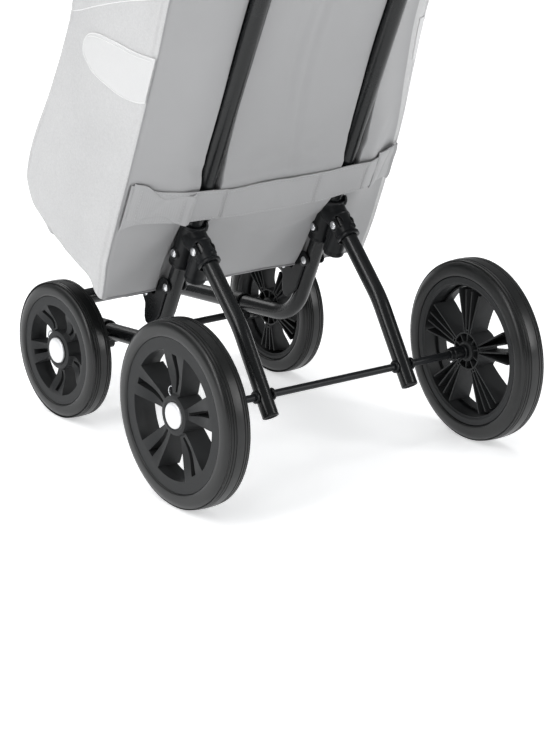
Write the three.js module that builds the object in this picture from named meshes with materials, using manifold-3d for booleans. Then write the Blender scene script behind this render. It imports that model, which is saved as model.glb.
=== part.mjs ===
// Four-wheel folding shopping trolley: a leaning tube frame with a low front loop, folding
// rear legs, four quick-release wheels, a tall soft bag on a small shelf, and a hinged lid.
// Millimetres. X is to the right seen from behind, Y is forward, Z is up.
import * as THREE from 'three';
import { mergeVertices } from 'three/addons/utils/BufferGeometryUtils.js';
import Module from 'manifold-3d';

const wasm = await Module();
wasm.setup();

// ---------------------------------------------------------------- driving dimensions
const GAP = 0.3;
const SIDE = 92;                      // half spacing of the two frame tubes and the two legs
const LEAN = THREE.MathUtils.degToRad(22.5);
const TUBE_OFFSET = 218.75;           // from the rear axle's foot to the leaning tube plane
const HANDLE_TOP = 975;               // handle bar's centre, measured up the lean
const UPPER_R = 11;
const UPPER_BORE = 9.4;
const LOWER_R = 9;
const LOWER_BORE = 7.8;
const UPPER_FOOT = 134;               // lower end of the upper frame, up the lean
const LOWER_HEAD = 172;               // upper end of the lower frame, up the lean
const BASE_Z = 125;                   // height of the base tubes' line at Y = 0
const BASE_FALL = -0.12;              // and its fall per millimetre forward
const BASE_FRONT = 450;
const AXLE_R = 4;
const AXLE_HOLE = AXLE_R + 0.4;

const REAR = { y: 0, z: 100, track: 386, radius: 100, rim: 82, width: 32, window: 69, clip: 54 };
const FRONT = { y: 296, z: 76, track: 287, radius: 76, rim: 60, width: 27, window: 50, clip: 18 };
const WHEEL_SIDES = 36;
const CAP_R = 14.2;
const CAP_SEAT = 6;
const HUB_R = 23;
const SPOKES = 5;
const WINDOW_HALF = 0.36;             // half the angle of a window between two spokes
const SLOT_HALF = 0.062;              // half the angle of the slot that splits a spoke
const CLIP = { wire: 1, spread: 5.4, reach: 27.5, tail: 4, depth: 5, bend: 2.5 };

const LEG_PIVOT = { n: -26.4, u: 167.7 };   // in the leaning frame
const LEG_BEND = { y: 44, z: 163 };
const LEG_OVERRUN = 22;
const RIVET_R = 2.5;
const RIVET_HOLE = RIVET_R + GAP + 0.1;
const RIVET_HEAD = 4.4;
const PIVOT_HEAD = 4.6;
const BRACKET_RIVET_U = 146.3;
const CHANNEL_RIVET_U = 99.4;
const DRILL = 20;                     // reach of a cross hole's cutter to each side

const BRACKET = {
  foot: 130, head: 186, sleeve: 14.5, stub: 12.2, leg: 12.3, boss: 17,
  legFrom: 14.5, legTo: -22, collar: 13.4, collarFrom: 15, collarTo: 11.5,
};
const CHANNEL_WIDTH = 23;

const BAG = {
  foot: 83.5, top: 640, rear: 14.9, depth: 176, half: 178, wall: 3, rearCorner: 14, frontCorner: 20,
  taper: 0.95, swell: 0.06, swellPeak: 0.7, deepen: 0.02,
};
const BACK_SWELL = { foot: 248, head: 584, rear: 1, front: 16, slope: 14, edge: 146, clear: 16 };
const LID = { half: 179, rear: 18, front: 200, skirt: 45, wall: 3 };
const SHELF_U = 71.7;
const SHELF_PIVOT_N = 28.7;
const SHELF_TUBE = { radius: 6, bore: 4.8, back: 20, front: 172, bend: 30 };
const BOARD = { half: 148, back: 19, front: 176, foot: 78.4, thickness: 4.5 };
const BAND = { half: 158, lay: 12.3, behind: 12.4, turn: 24, thickness: 1.6 };
const LOWER_BAND = [196, 236];
const UPPER_BAND = [594, 630];
const GRIP = { half: 44, radius: 16 };
const COLLAR = { length: 22, radius: 7 };

// ---------------------------------------------------------------- materials
const paint = (color, roughness, metalness) =>
  new THREE.MeshStandardMaterial({ color, roughness, metalness });
const tubePaint = () => paint(0x1d2022, 0.35, 0.3);
const blackPlastic = () => paint(0x161819, 0.45, 0);
const wheelPlastic = () => paint(0x3a3d40, 0.5, 0);
const rubber = () => paint(0x2a2c2c, 0.7, 0);
const zinc = () => paint(0xd4d6d8, 0.3, 1);
const greyFabric = () => paint(0x9c9c9d, 0.9, 0);
const paleFabric = () => paint(0xd9d9da, 0.9, 0);

// ---------------------------------------------------------------- solids
function toSolid(geometry) {
  const bare = geometry.clone();
  bare.deleteAttribute('normal');
  bare.deleteAttribute('uv');
  const merged = mergeVertices(bare, 1e-4);
  const index = merged.index.array;
  const kept = [];
  for (let i = 0; i < index.length; i += 3) {
    const [a, b, c] = [index[i], index[i + 1], index[i + 2]];
    if (a !== b && b !== c && c !== a) kept.push(a, b, c);
  }
  return new wasm.Manifold(new wasm.Mesh({
    numProp: 3,
    vertProperties: new Float32Array(merged.attributes.position.array),
    triVerts: new Uint32Array(kept),
  }));
}

function toGeometry(solid) {
  const mesh = solid.getMesh();
  const geometry = new THREE.BufferGeometry();
  geometry.setAttribute('position', new THREE.BufferAttribute(new Float32Array(mesh.vertProperties), 3));
  geometry.setIndex(new THREE.BufferAttribute(new Uint32Array(mesh.triVerts), 1));
  geometry.computeVertexNormals();
  return geometry;
}

// First solid, joined with the added ones and then cut by the cutters.
function shape(first, added, cutters) {
  let solid = toSolid(first);
  for (const piece of added) solid = solid.add(toSolid(piece));
  for (const cutter of cutters) solid = solid.subtract(toSolid(cutter));
  return toGeometry(solid);
}

// A rod between two points.
function rod(from, to, radius, sides = 16) {
  const axis = new THREE.Vector3().subVectors(to, from);
  const geometry = new THREE.CylinderGeometry(radius, radius, axis.length(), sides);
  const turn = new THREE.Quaternion().setFromUnitVectors(new THREE.Vector3(0, 1, 0), axis.normalize());
  geometry.applyQuaternion(turn);
  const middle = new THREE.Vector3().addVectors(from, to).multiplyScalar(0.5);
  return geometry.translate(middle.x, middle.y, middle.z);
}

// A rod along X through (y, z).
const crossRod = (x0, x1, y, z, radius, sides = 16) =>
  rod(new THREE.Vector3(x0, y, z), new THREE.Vector3(x1, y, z), radius, sides);

// A plate with an outline in the Y-Z plane, centred on X = 0.
function plate(outline, thickness) {
  const points = outline.map(([y, z]) => new THREE.Vector2(y, z));
  const flat = new THREE.ExtrudeGeometry(new THREE.Shape(points), { depth: thickness, bevelEnabled: false });
  flat.translate(0, 0, -thickness / 2);
  const turn = new THREE.Matrix4().makeBasis(
    new THREE.Vector3(0, 1, 0), new THREE.Vector3(0, 0, 1), new THREE.Vector3(1, 0, 0));
  return flat.applyMatrix4(turn);
}

// Points of an arc, from angle a to angle b in radians.
function arc(cx, cy, radius, a, b, steps) {
  const points = [];
  for (let i = 0; i <= steps; i += 1) {
    const t = a + (b - a) * i / steps;
    points.push(new THREE.Vector2(cx + radius * Math.cos(t), cy + radius * Math.sin(t)));
  }
  return points;
}

// Rounded rectangle, with one corner radius on the low-y side and one on the high-y side.
function roundedRect(half, y0, y1, lowRadius, highRadius, steps = 4) {
  const q = Math.PI / 2;
  return [
    ...arc(half - lowRadius, y0 + lowRadius, lowRadius, -q, 0, steps),
    ...arc(half - highRadius, y1 - highRadius, highRadius, 0, q, steps),
    ...arc(highRadius - half, y1 - highRadius, highRadius, q, 2 * q, steps),
    ...arc(lowRadius - half, y0 + lowRadius, lowRadius, 2 * q, 3 * q, steps),
  ];
}

const circle = (radius, sides, phase = 0) =>
  arc(0, 0, radius, phase, phase + 2 * Math.PI * (1 - 1 / sides), sides - 1);

// A centre line made of straight runs joined by round bends.
class BentLine extends THREE.Curve {
  constructor(corners, radii, steps = 5) {
    super();
    const along = (a, b) => new THREE.Vector3().subVectors(b, a).normalize();
    this.points = [corners[0].clone()];
    this.tangents = [along(corners[0], corners[1])];
    for (let i = 1; i < corners.length - 1; i += 1) {
      const before = along(corners[i - 1], corners[i]);
      const after = along(corners[i], corners[i + 1]);
      const angle = before.angleTo(after);
      const radius = radii[i - 1];
      const side = after.clone().addScaledVector(before, -Math.cos(angle)).normalize();
      const start = corners[i].clone().addScaledVector(before, -radius * Math.tan(angle / 2));
      for (let k = 0; k <= steps; k += 1) {
        const a = angle * k / steps;
        const point = start.clone().addScaledVector(before, radius * Math.sin(a));
        this.points.push(point.addScaledVector(side, radius * (1 - Math.cos(a))));
        const tangent = before.clone().multiplyScalar(Math.cos(a));
        this.tangents.push(tangent.addScaledVector(side, Math.sin(a)));
      }
    }
    const last = corners.length - 1;
    this.points.push(corners[last].clone());
    this.tangents.push(along(corners[last - 1], corners[last]));
    this.steps = this.points.length - 1;
  }

  getPointAt(t) {
    return this.points[Math.round(t * this.steps)].clone();
  }

  getTangentAt(t) {
    return this.tangents[Math.round(t * this.steps)].clone();
  }
}

// A round tube, or a solid rod when the bore is 0, along a bent line.
function tube(line, radius, bore, sides = 14) {
  const section = new THREE.Shape(circle(radius, sides));
  if (bore > 0) section.holes.push(new THREE.Path(circle(bore, sides)));
  return new THREE.ExtrudeGeometry(section, { steps: line.steps, bevelEnabled: false, extrudePath: line });
}

// A turned piece about the X axis, from (x, radius) pairs that close on themselves or on the axis.
function turned(profile, sides) {
  const points = profile.map(([x, r]) => new THREE.Vector2(r, x));
  const geometry = new THREE.LatheGeometry(points, sides, Math.PI / sides);
  return geometry.rotateZ(-Math.PI / 2);
}

// ---------------------------------------------------------------- scene helpers
const trolley = new THREE.Group();
const leaning = new THREE.Group();    // x, n (out of the tube plane, forward), u (up the lean)
leaning.rotation.x = LEAN;
leaning.position.set(0, TUBE_OFFSET * Math.cos(LEAN), TUBE_OFFSET * Math.sin(LEAN));
trolley.add(leaning);

function put(parent, name, geometry, material, x = 0) {
  const mesh = new THREE.Mesh(geometry, material);
  mesh.name = name;
  mesh.position.x = x;
  parent.add(mesh);
  return mesh;
}

const sides = [['left', -1], ['right', 1]];

// From the leaning frame to the trolley's own axes.
function fromLean(x, n, u) {
  return new THREE.Vector3(x, n, u).applyEuler(leaning.rotation).add(leaning.position);
}

const baseHeight = (y) => BASE_Z + BASE_FALL * y;

// ---------------------------------------------------------------- upper frame and grip
function upperFrame() {
  const corners = [
    new THREE.Vector3(-SIDE, 0, UPPER_FOOT), new THREE.Vector3(-SIDE, 0, HANDLE_TOP),
    new THREE.Vector3(SIDE, 0, HANDLE_TOP), new THREE.Vector3(SIDE, 0, UPPER_FOOT),
  ];
  const holes = sides.map(([, s]) =>
    crossRod(s * SIDE - DRILL, s * SIDE + DRILL, 0, BRACKET_RIVET_U, RIVET_HOLE, 8));
  return shape(tube(new BentLine(corners, [45, 45]), UPPER_R, UPPER_BORE), [], holes);
}

function handleGrip() {
  const { half, radius } = GRIP;
  const bore = UPPER_R + 0.4;
  const profile = [[-half, bore], [-half, radius - 2], [2 - half, radius], [half - 2, radius],
    [half, radius - 2], [half, bore], [-half, bore]];
  return turned(profile, 24).translate(0, 0, HANDLE_TOP);
}

put(leaning, 'upper_frame', upperFrame(), tubePaint());
put(leaning, 'handle_grip', handleGrip(), blackPlastic());

// ---------------------------------------------------------------- lower frame
// Where the leaning tube's line meets the base line, on one side.
function baseCorner(side) {
  const head = fromLean(side * SIDE, 0, LOWER_HEAD);
  const slope = -Math.tan(LEAN);
  const y = (head.y - slope * head.z + slope * BASE_Z) / (1 - slope * BASE_FALL);
  return new THREE.Vector3(side * SIDE, y, baseHeight(y));
}

function lowerFrame() {
  const front = (side) => new THREE.Vector3(side * SIDE, BASE_FRONT, baseHeight(BASE_FRONT));
  const corners = [fromLean(-SIDE, 0, LOWER_HEAD), baseCorner(-1), front(-1),
    front(1), baseCorner(1), fromLean(SIDE, 0, LOWER_HEAD)];
  const holes = [];
  for (const [, s] of sides) {
    for (const u of [BRACKET_RIVET_U, CHANNEL_RIVET_U]) {
      const at = fromLean(s * SIDE, 0, u);
      holes.push(crossRod(at.x - DRILL, at.x + DRILL, at.y, at.z, RIVET_HOLE, 8));
    }
  }
  return shape(tube(new BentLine(corners, [55, 45, 45, 55]), LOWER_R, LOWER_BORE), [], holes);
}

put(trolley, 'lower_frame', lowerFrame(), tubePaint());

// ---------------------------------------------------------------- side brackets
const pivot = fromLean(0, LEG_PIVOT.n, LEG_PIVOT.u);
const legDown = new THREE.Vector3(0, LEG_BEND.y - pivot.y, LEG_BEND.z - pivot.z).normalize();
const legDownLocal = legDown.clone().applyAxisAngle(new THREE.Vector3(1, 0, 0), -LEAN);

function sideBracket() {
  const p = new THREE.Vector3(0, LEG_PIVOT.n, LEG_PIVOT.u);
  const out = legDownLocal;
  const over = new THREE.Vector3(0, -out.z, out.y).multiplyScalar(-1);   // above the leg
  const at = (along, across) => p.clone().addScaledVector(out, along).addScaledVector(over, across);
  const { foot, head } = BRACKET;
  const mainSleeve = rod(new THREE.Vector3(0, 0, foot), new THREE.Vector3(0, 0, head), BRACKET.sleeve, 20);
  const stub = rod(new THREE.Vector3(0, p.y, foot), p, BRACKET.stub, 16);
  const legSleeve = rod(at(BRACKET.legFrom, 0), at(BRACKET.legTo, 0), BRACKET.leg, 16);
  const collarRing = rod(at(BRACKET.collarFrom, 0), at(BRACKET.collarTo, 0), BRACKET.collar, 16);
  const boss = crossRod(-BRACKET.stub, BRACKET.stub, p.y, p.z, BRACKET.boss, 18);
  const reach = 70;
  const slotHalf = LOWER_R + 0.4;
  const swing = [
    [p.y + slotHalf, p.z], [p.y + slotHalf, p.z - reach], [p.y - reach, p.z - reach],
    [at(reach, slotHalf).y, at(reach, slotHalf).z], [at(0, slotHalf).y, at(0, slotHalf).z],
  ];
  const cutters = [
    rod(new THREE.Vector3(0, 0, UPPER_FOOT - 0.4), new THREE.Vector3(0, 0, head + 5), UPPER_R + 0.5, 18),
    rod(new THREE.Vector3(0, 0, foot - 5), new THREE.Vector3(0, 0, head), LOWER_R + 0.5, 18),
    plate(swing, 2 * slotHalf),
    crossRod(-slotHalf, slotHalf, p.y, p.z, 12.6, 16),
    crossRod(-DRILL, DRILL, p.y, p.z, RIVET_HOLE, 8),
    crossRod(-DRILL, DRILL, 0, BRACKET_RIVET_U, RIVET_HOLE, 8),
  ];
  return shape(mainSleeve, [stub, legSleeve, collarRing, boss], cutters);
}

// A rivet along X: round head, shank, round head.
function rivet(halfGrip, headR) {
  const end = halfGrip + GAP;
  const profile = [[-end - 2, 0], [-end - 1.4, headR * 0.7], [-end, headR], [-end, RIVET_R],
    [end, RIVET_R], [end, headR], [end + 1.4, headR * 0.7], [end + 2, 0]];
  return turned(profile, 10);
}

for (const [side, s] of sides) {
  put(leaning, `side_bracket_${side}`, sideBracket(), blackPlastic(), s * SIDE);
  const bracketRivet = rivet(BRACKET.sleeve, RIVET_HEAD).translate(0, 0, BRACKET_RIVET_U);
  put(leaning, `bracket_rivet_${side}`, bracketRivet, zinc(), s * SIDE);
  const pivotPin = rivet(BRACKET.stub, PIVOT_HEAD).translate(0, LEG_PIVOT.n, LEG_PIVOT.u);
  put(leaning, `leg_pivot_pin_${side}`, pivotPin, zinc(), s * SIDE);
}

// ---------------------------------------------------------------- channel brackets and shelf
function channelBracket() {
  const outline = [[-2, 107], [4, 109], [10, 106], [14.2, 99], [14.2, 77.8], [32, 77.8], [36.5, 74],
    [36.5, 68], [25, 60], [20, 45], [15, 40], [7, 42], [-2, 60]];
  const inside = [[-10, 120], [45, 120], [45, 62], [21.5, 62], [17, 46], [14, 30], [-10, 30]];
  const cutters = [
    plate(inside, 2 * (LOWER_R + 0.5)),
    crossRod(-DRILL, DRILL, 0, CHANNEL_RIVET_U, RIVET_HOLE, 8),
    crossRod(-DRILL, DRILL, SHELF_PIVOT_N, SHELF_U, RIVET_HOLE, 8),
  ];
  return shape(plate(outline, CHANNEL_WIDTH), [], cutters);
}

function shelfFrame() {
  const { radius, bore, back, front, bend } = SHELF_TUBE;
  const corners = [
    new THREE.Vector3(-SIDE, back, SHELF_U), new THREE.Vector3(-SIDE, front, SHELF_U),
    new THREE.Vector3(SIDE, front, SHELF_U), new THREE.Vector3(SIDE, back, SHELF_U),
  ];
  const holes = sides.map(([, s]) =>
    crossRod(s * SIDE - DRILL, s * SIDE + DRILL, SHELF_PIVOT_N, SHELF_U, RIVET_HOLE, 8));
  return shape(tube(new BentLine(corners, [bend, bend], 4), radius, bore, 10), [], holes);
}

function baseBoard() {
  const outline = new THREE.Shape(roundedRect(BOARD.half, BOARD.back, BOARD.front, 12, 22, 3));
  const board = new THREE.ExtrudeGeometry(outline, { depth: BOARD.thickness, bevelEnabled: false });
  return board.translate(0, 0, BOARD.foot);
}

for (const [side, s] of sides) {
  put(leaning, `channel_bracket_${side}`, channelBracket(), blackPlastic(), s * SIDE);
  const channelRivet = rivet(CHANNEL_WIDTH / 2, RIVET_HEAD).translate(0, 0, CHANNEL_RIVET_U);
  put(leaning, `channel_rivet_${side}`, channelRivet, zinc(), s * SIDE);
  const shelfRivet = rivet(CHANNEL_WIDTH / 2, RIVET_HEAD).translate(0, SHELF_PIVOT_N, SHELF_U);
  put(leaning, `shelf_rivet_${side}`, shelfRivet, zinc(), s * SIDE);
}
put(leaning, 'shelf_frame', shelfFrame(), tubePaint());
put(leaning, 'base_board', baseBoard(), blackPlastic());

// ---------------------------------------------------------------- bag, bands and lid
// The bag's section swells from the foot to the middle and narrows a little at the top.
function bagBody(inset, from, to) {
  const outline = roundedRect(BAG.half - inset, BAG.rear + inset, BAG.rear + BAG.depth - inset,
    BAG.rearCorner - inset, BAG.frontCorner - inset, 3);
  const body = new THREE.ExtrudeGeometry(new THREE.Shape(outline),
    { depth: to - from, steps: 6, bevelEnabled: false });
  body.translate(0, 0, from);
  const position = body.attributes.position;
  for (let i = 0; i < position.count; i += 1) {
    const t = (position.getZ(i) - BAG.foot) / (BAG.top - BAG.foot);
    const along = Math.min(Math.max(t, 0), 1) ** BAG.swellPeak;
    const swell = BAG.taper + BAG.swell * Math.sin(Math.PI * along);
    position.setX(i, position.getX(i) * swell);
    position.setY(i, BAG.rear + (position.getY(i) - BAG.rear) * (swell + BAG.deepen));
  }
  return body;
}

// The bag swells back between and beside the tubes, which lie in channels in its rear panel.
function backSwell(from, to) {
  const { foot, head, rear, front, slope } = BACK_SWELL;
  const outline = [[front, foot], [rear, foot + slope], [rear, head - slope], [front, head]];
  return plate(outline, to - from).translate((from + to) / 2, 0, 0);
}

const inner = SIDE - BACK_SWELL.clear;
const outer = SIDE + BACK_SWELL.clear;
const swells = [
  backSwell(-inner, inner), backSwell(outer, BACK_SWELL.edge), backSwell(-BACK_SWELL.edge, -outer),
];
const hollow = bagBody(BAG.wall, BAG.foot + BAG.wall, BAG.top + 5);
put(leaning, 'bag', shape(bagBody(0, BAG.foot, BAG.top), swells, [hollow]), greyFabric());

// A fabric band sewn to the bag's rear corners and running straight across behind both tubes.
function band([low, high]) {
  const { half, lay, behind, turn, thickness } = BAND;
  const line = [[-half, lay], [-SIDE - turn, -behind], [SIDE + turn, -behind], [half, lay]];
  return ribbon(line, thickness, low, high);
}

// A strip of even thickness along a line in the x-n plane, standing from low to high.
function ribbon(line, thickness, low, high) {
  const points = line.map(([x, y]) => new THREE.Vector2(x, y));
  const offset = (i, side) => {
    const before = points[Math.max(i - 1, 0)];
    const after = points[Math.min(i + 1, points.length - 1)];
    const along = after.clone().sub(before).normalize();
    return new THREE.Vector2(
      points[i].x - side * along.y * thickness / 2, points[i].y + side * along.x * thickness / 2);
  };
  const there = points.map((_, i) => offset(i, 1));
  const back = points.map((_, i) => offset(i, -1)).reverse();
  const strip = new THREE.ExtrudeGeometry(new THREE.Shape([...there, ...back]),
    { depth: high - low, bevelEnabled: false });
  return strip.translate(0, 0, low);
}

put(leaning, 'lower_band', band(LOWER_BAND), greyFabric());
put(leaning, 'upper_band', band(UPPER_BAND), greyFabric());

function lid() {
  const over = BAG.top + 1;
  const outer = new THREE.Shape(roundedRect(LID.half, LID.rear, LID.front, 6, 30, 3));
  const hollow = roundedRect(LID.half - LID.wall, LID.rear - 20, LID.front - LID.wall, 4, 27, 3);
  const cap = new THREE.ExtrudeGeometry(outer, { depth: LID.skirt + LID.wall, bevelEnabled: false });
  const inside = new THREE.ExtrudeGeometry(new THREE.Shape(hollow),
    { depth: LID.skirt + 10, bevelEnabled: false });
  return shape(cap.translate(0, 0, over - LID.skirt), [], [inside.translate(0, 0, over - LID.skirt - 10)]);
}

put(leaning, 'lid', lid(), paleFabric());

// ---------------------------------------------------------------- rear legs
function rearLeg(s) {
  const axle = new THREE.Vector3(s * SIDE, REAR.y, REAR.z);
  const bend = new THREE.Vector3(s * SIDE, LEG_BEND.y, LEG_BEND.z);
  const top = new THREE.Vector3(s * SIDE, pivot.y, pivot.z).addScaledVector(legDown, -8);
  const end = axle.clone().addScaledVector(axle.clone().sub(bend).normalize(), LEG_OVERRUN);
  const holes = [
    crossRod(s * SIDE - DRILL, s * SIDE + DRILL, pivot.y, pivot.z, RIVET_HOLE, 8),
    crossRod(s * SIDE - DRILL, s * SIDE + DRILL, axle.y, axle.z, AXLE_HOLE, 12),
  ];
  return shape(tube(new BentLine([top, bend, end], [120], 5), LOWER_R, LOWER_BORE), [], holes);
}

function legPlug(s) {
  const axle = new THREE.Vector3(s * SIDE, REAR.y, REAR.z);
  const along = new THREE.Vector3(0, REAR.y - LEG_BEND.y, REAR.z - LEG_BEND.z).normalize();
  const at = (distance) => axle.clone().addScaledVector(along, distance);
  const inner = rod(at(LEG_OVERRUN - 10), at(LEG_OVERRUN + 0.8), LOWER_BORE - 0.4, 16);
  const cap = rod(at(LEG_OVERRUN + GAP), at(LEG_OVERRUN + 2.3), LOWER_R, 16);
  return shape(inner, [cap], []);
}

function collar(from, to) {
  const { radius } = COLLAR;
  const profile = [[from, AXLE_HOLE], [from, radius], [to, radius], [to, AXLE_HOLE], [from, AXLE_HOLE]];
  return turned(profile, 12);
}

const onAxle = (geometry, wheel) => geometry.translate(0, wheel.y, wheel.z);

for (const [side, s] of sides) {
  put(trolley, `rear_leg_${side}`, rearLeg(s), tubePaint());
  put(trolley, `leg_plug_${side}`, legPlug(s), blackPlastic());
}

// ---------------------------------------------------------------- axles, collars and saddles
function axle(wheel) {
  const half = wheel.track / 2 + wheel.width / 2 - CAP_SEAT - 2;
  const profile = [[-half, 0], [-half, AXLE_R - 0.8], [0.8 - half, AXLE_R], [half - 0.8, AXLE_R],
    [half, AXLE_R - 0.8], [half, 0]];
  return onAxle(turned(profile, 12), wheel);
}

function axleSaddle(s) {
  const y = FRONT.y;
  const z = baseHeight(y);
  const along = new THREE.Vector3(0, 1, BASE_FALL).normalize();
  const middle = new THREE.Vector3(0, y, z);
  const at = (distance) => middle.clone().addScaledVector(along, distance);
  const wrap = rod(at(-9), at(9), LOWER_R + 2.6, 18);
  const seat = plate([[y - 9, z - 4], [y - 8, FRONT.z - 5], [y - 4, FRONT.z - 8],
    [y + 4, FRONT.z - 8], [y + 8, FRONT.z - 5], [y + 9, z - 4]], 18);
  const cutters = [rod(at(-20), at(20), LOWER_R + 0.4, 18), crossRod(-20, 20, y, FRONT.z, AXLE_HOLE, 12)];
  return shape(wrap, [seat], cutters).translate(s * SIDE, 0, 0);
}

put(trolley, 'rear_axle', axle(REAR), tubePaint());
put(trolley, 'front_axle', axle(FRONT), tubePaint());
for (const [side, s] of sides) {
  put(trolley, `axle_saddle_${side}`, axleSaddle(s), blackPlastic());
  for (const [row, wheel] of [['rear', REAR], ['front', FRONT]]) {
    const inner = (wheel.track - wheel.width) / 2 - 0.6;
    const ring = s > 0 ? collar(inner - COLLAR.length, inner) : collar(-inner, COLLAR.length - inner);
    put(trolley, `${row}_collar_${side}`, onAxle(ring, wheel), blackPlastic());
  }
}

// ---------------------------------------------------------------- wheels
function tyre(wheel) {
  const half = wheel.width / 2;
  const outer = wheel.radius / Math.cos(Math.PI / WHEEL_SIDES);
  const inner = wheel.rim + 0.4;
  const profile = [[0.6 - half, inner], [-half, outer - 6], [3 - half, outer - 1.6], [8 - half, outer],
    [half - 8, outer], [half - 3, outer - 1.6], [half, outer - 6], [half - 0.6, inner], [0.6 - half, inner]];
  return turned(profile, WHEEL_SIDES);
}

// A hole bounded by two arcs and two spokes' flanks.
function sector(r0, r1, centre, half, steps) {
  return [...arc(0, 0, r1, centre - half, centre + half, steps),
    ...arc(0, 0, r0, centre + half, centre - half, Math.max(1, Math.round(steps / 2)))];
}

// The rim's outer face is at +half its width. Its five split spokes have one slot straight up
// on the rear wheels and straight down on the front ones.
function rim(wheel) {
  const half = wheel.width / 2 - 1.5;
  const turn = wheel === REAR ? Math.PI / 2 : -Math.PI / 2;
  const phase = Math.PI / WHEEL_SIDES;
  const face = new THREE.Shape(circle(wheel.rim, WHEEL_SIDES, phase));
  face.holes.push(new THREE.Path(circle(AXLE_HOLE, 16)));
  for (let k = 0; k < SPOKES; k += 1) {
    const spoke = turn + 2 * Math.PI * k / SPOKES;
    const window = spoke + Math.PI / SPOKES;
    face.holes.push(new THREE.Path(sector(HUB_R, wheel.window, window, WINDOW_HALF, 4)));
    face.holes.push(new THREE.Path(sector(HUB_R + 1, wheel.window, spoke, SLOT_HALF, 1)));
  }
  const disc = new THREE.ExtrudeGeometry(face, { depth: 2 * half, bevelEnabled: false });
  disc.translate(0, 0, -half);
  disc.applyMatrix4(new THREE.Matrix4().makeBasis(
    new THREE.Vector3(0, 1, 0), new THREE.Vector3(0, 0, 1), new THREE.Vector3(1, 0, 0)));
  const seat = crossRod(half - CAP_SEAT, half + 5, 0, 0, CAP_R + 0.4, 20);
  return shape(disc, [], [seat, ...clipHoles(wheel)]);
}

// A point of a wheel's clip: r out from the axle along the clip, and across it.
function onClip(wheel, r, across) {
  const angle = THREE.MathUtils.degToRad(wheel.clip);
  return new THREE.Vector3(wheel.width / 2 - CAP_SEAT - CLIP.depth,
    r * Math.cos(angle) - across * Math.sin(angle), r * Math.sin(angle) + across * Math.cos(angle));
}

// The holes for the clip's two straight prongs, one each side of the axle.
function clipHoles(wheel) {
  const radius = CLIP.wire + GAP + 0.05;
  return [-CLIP.spread, CLIP.spread].map((across) =>
    rod(onClip(wheel, -CLIP.tail - 2, across), onClip(wheel, HUB_R + 2, across), radius, 8));
}

function clip(wheel) {
  const { wire, spread, reach, tail, bend } = CLIP;
  const corners = [onClip(wheel, -tail, -spread), onClip(wheel, reach, -spread),
    onClip(wheel, reach, spread), onClip(wheel, -tail, spread)];
  return tube(new BentLine(corners, [bend, bend], 3), wire, 0, 8);
}

function hubCap(wheel) {
  const seat = wheel.width / 2 - 1.5 - CAP_SEAT;
  const profile = [[seat + GAP, 0], [seat + GAP, CAP_R], [seat + CAP_SEAT + 0.6, CAP_R],
    [seat + CAP_SEAT + 1.8, CAP_R * 0.82], [seat + CAP_SEAT + 2.6, CAP_R * 0.45],
    [seat + CAP_SEAT + 2.8, 0]];
  return turned(profile, 20);
}

// A left wheel is a right wheel seen from the other side: its geometry is mirrored in X.
function mirrored(geometry) {
  const flat = (geometry.index ? geometry.toNonIndexed() : geometry.clone()).scale(-1, 1, 1);
  const position = flat.attributes.position;
  const corner = new THREE.Vector3();
  for (let i = 0; i < position.count; i += 3) {
    corner.fromBufferAttribute(position, i);
    position.copyAt(i, position, i + 1);
    position.setXYZ(i + 1, corner.x, corner.y, corner.z);
  }
  flat.computeVertexNormals();
  return flat;
}

for (const [row, wheel] of [['rear', REAR], ['front', FRONT]]) {
  for (const [side, s] of sides) {
    const place = (geometry) => onAxle(s > 0 ? geometry : mirrored(geometry), wheel);
    const x = s * wheel.track / 2;
    put(trolley, `${row}_tyre_${side}`, place(tyre(wheel)), rubber(), x);
    put(trolley, `${row}_rim_${side}`, place(rim(wheel)), wheelPlastic(), x);
    put(trolley, `${row}_hub_cap_${side}`, place(hubCap(wheel)), zinc(), x);
    put(trolley, `${row}_clip_${side}`, place(clip(wheel)), zinc(), x);
  }
}

// ---------------------------------------------------------------- origin
// The origin is the centre of the trolley's box, on the ground.
trolley.updateMatrixWorld(true);
const box = new THREE.Box3().setFromObject(trolley, true);
trolley.position.y = -(box.min.y + box.max.y) / 2;
trolley.position.z = -box.min.z;

export default trolley;
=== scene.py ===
import math

import bmesh
import bpy
from mathutils import Matrix, Quaternion, Vector, noise


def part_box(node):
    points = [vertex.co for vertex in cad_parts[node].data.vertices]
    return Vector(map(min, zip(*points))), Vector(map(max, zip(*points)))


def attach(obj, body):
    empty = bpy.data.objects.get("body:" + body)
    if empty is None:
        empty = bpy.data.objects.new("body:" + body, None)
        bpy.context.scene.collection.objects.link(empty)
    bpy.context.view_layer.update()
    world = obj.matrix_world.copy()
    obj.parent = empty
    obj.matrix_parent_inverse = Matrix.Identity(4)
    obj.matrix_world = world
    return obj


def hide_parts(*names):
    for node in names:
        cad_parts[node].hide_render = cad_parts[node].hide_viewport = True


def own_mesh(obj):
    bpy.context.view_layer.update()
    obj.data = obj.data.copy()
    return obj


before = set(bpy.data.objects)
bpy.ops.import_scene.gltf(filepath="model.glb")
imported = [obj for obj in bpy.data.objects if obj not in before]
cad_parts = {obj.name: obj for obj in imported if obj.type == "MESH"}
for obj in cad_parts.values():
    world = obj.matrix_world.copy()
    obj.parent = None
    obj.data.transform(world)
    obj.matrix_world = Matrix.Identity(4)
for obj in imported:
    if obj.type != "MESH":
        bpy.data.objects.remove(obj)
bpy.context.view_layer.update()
scene = bpy.context.scene

# Lengths are in millimetres in the frame's own axes, and turned into metres as a mesh is made.
MM = 0.001
SIDES = (("left", -1), ("right", 1))


def centre(node):
    low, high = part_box(node)
    return (low + high) / 2 / MM


def size(node):
    low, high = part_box(node)
    return (high - low) / MM


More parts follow.
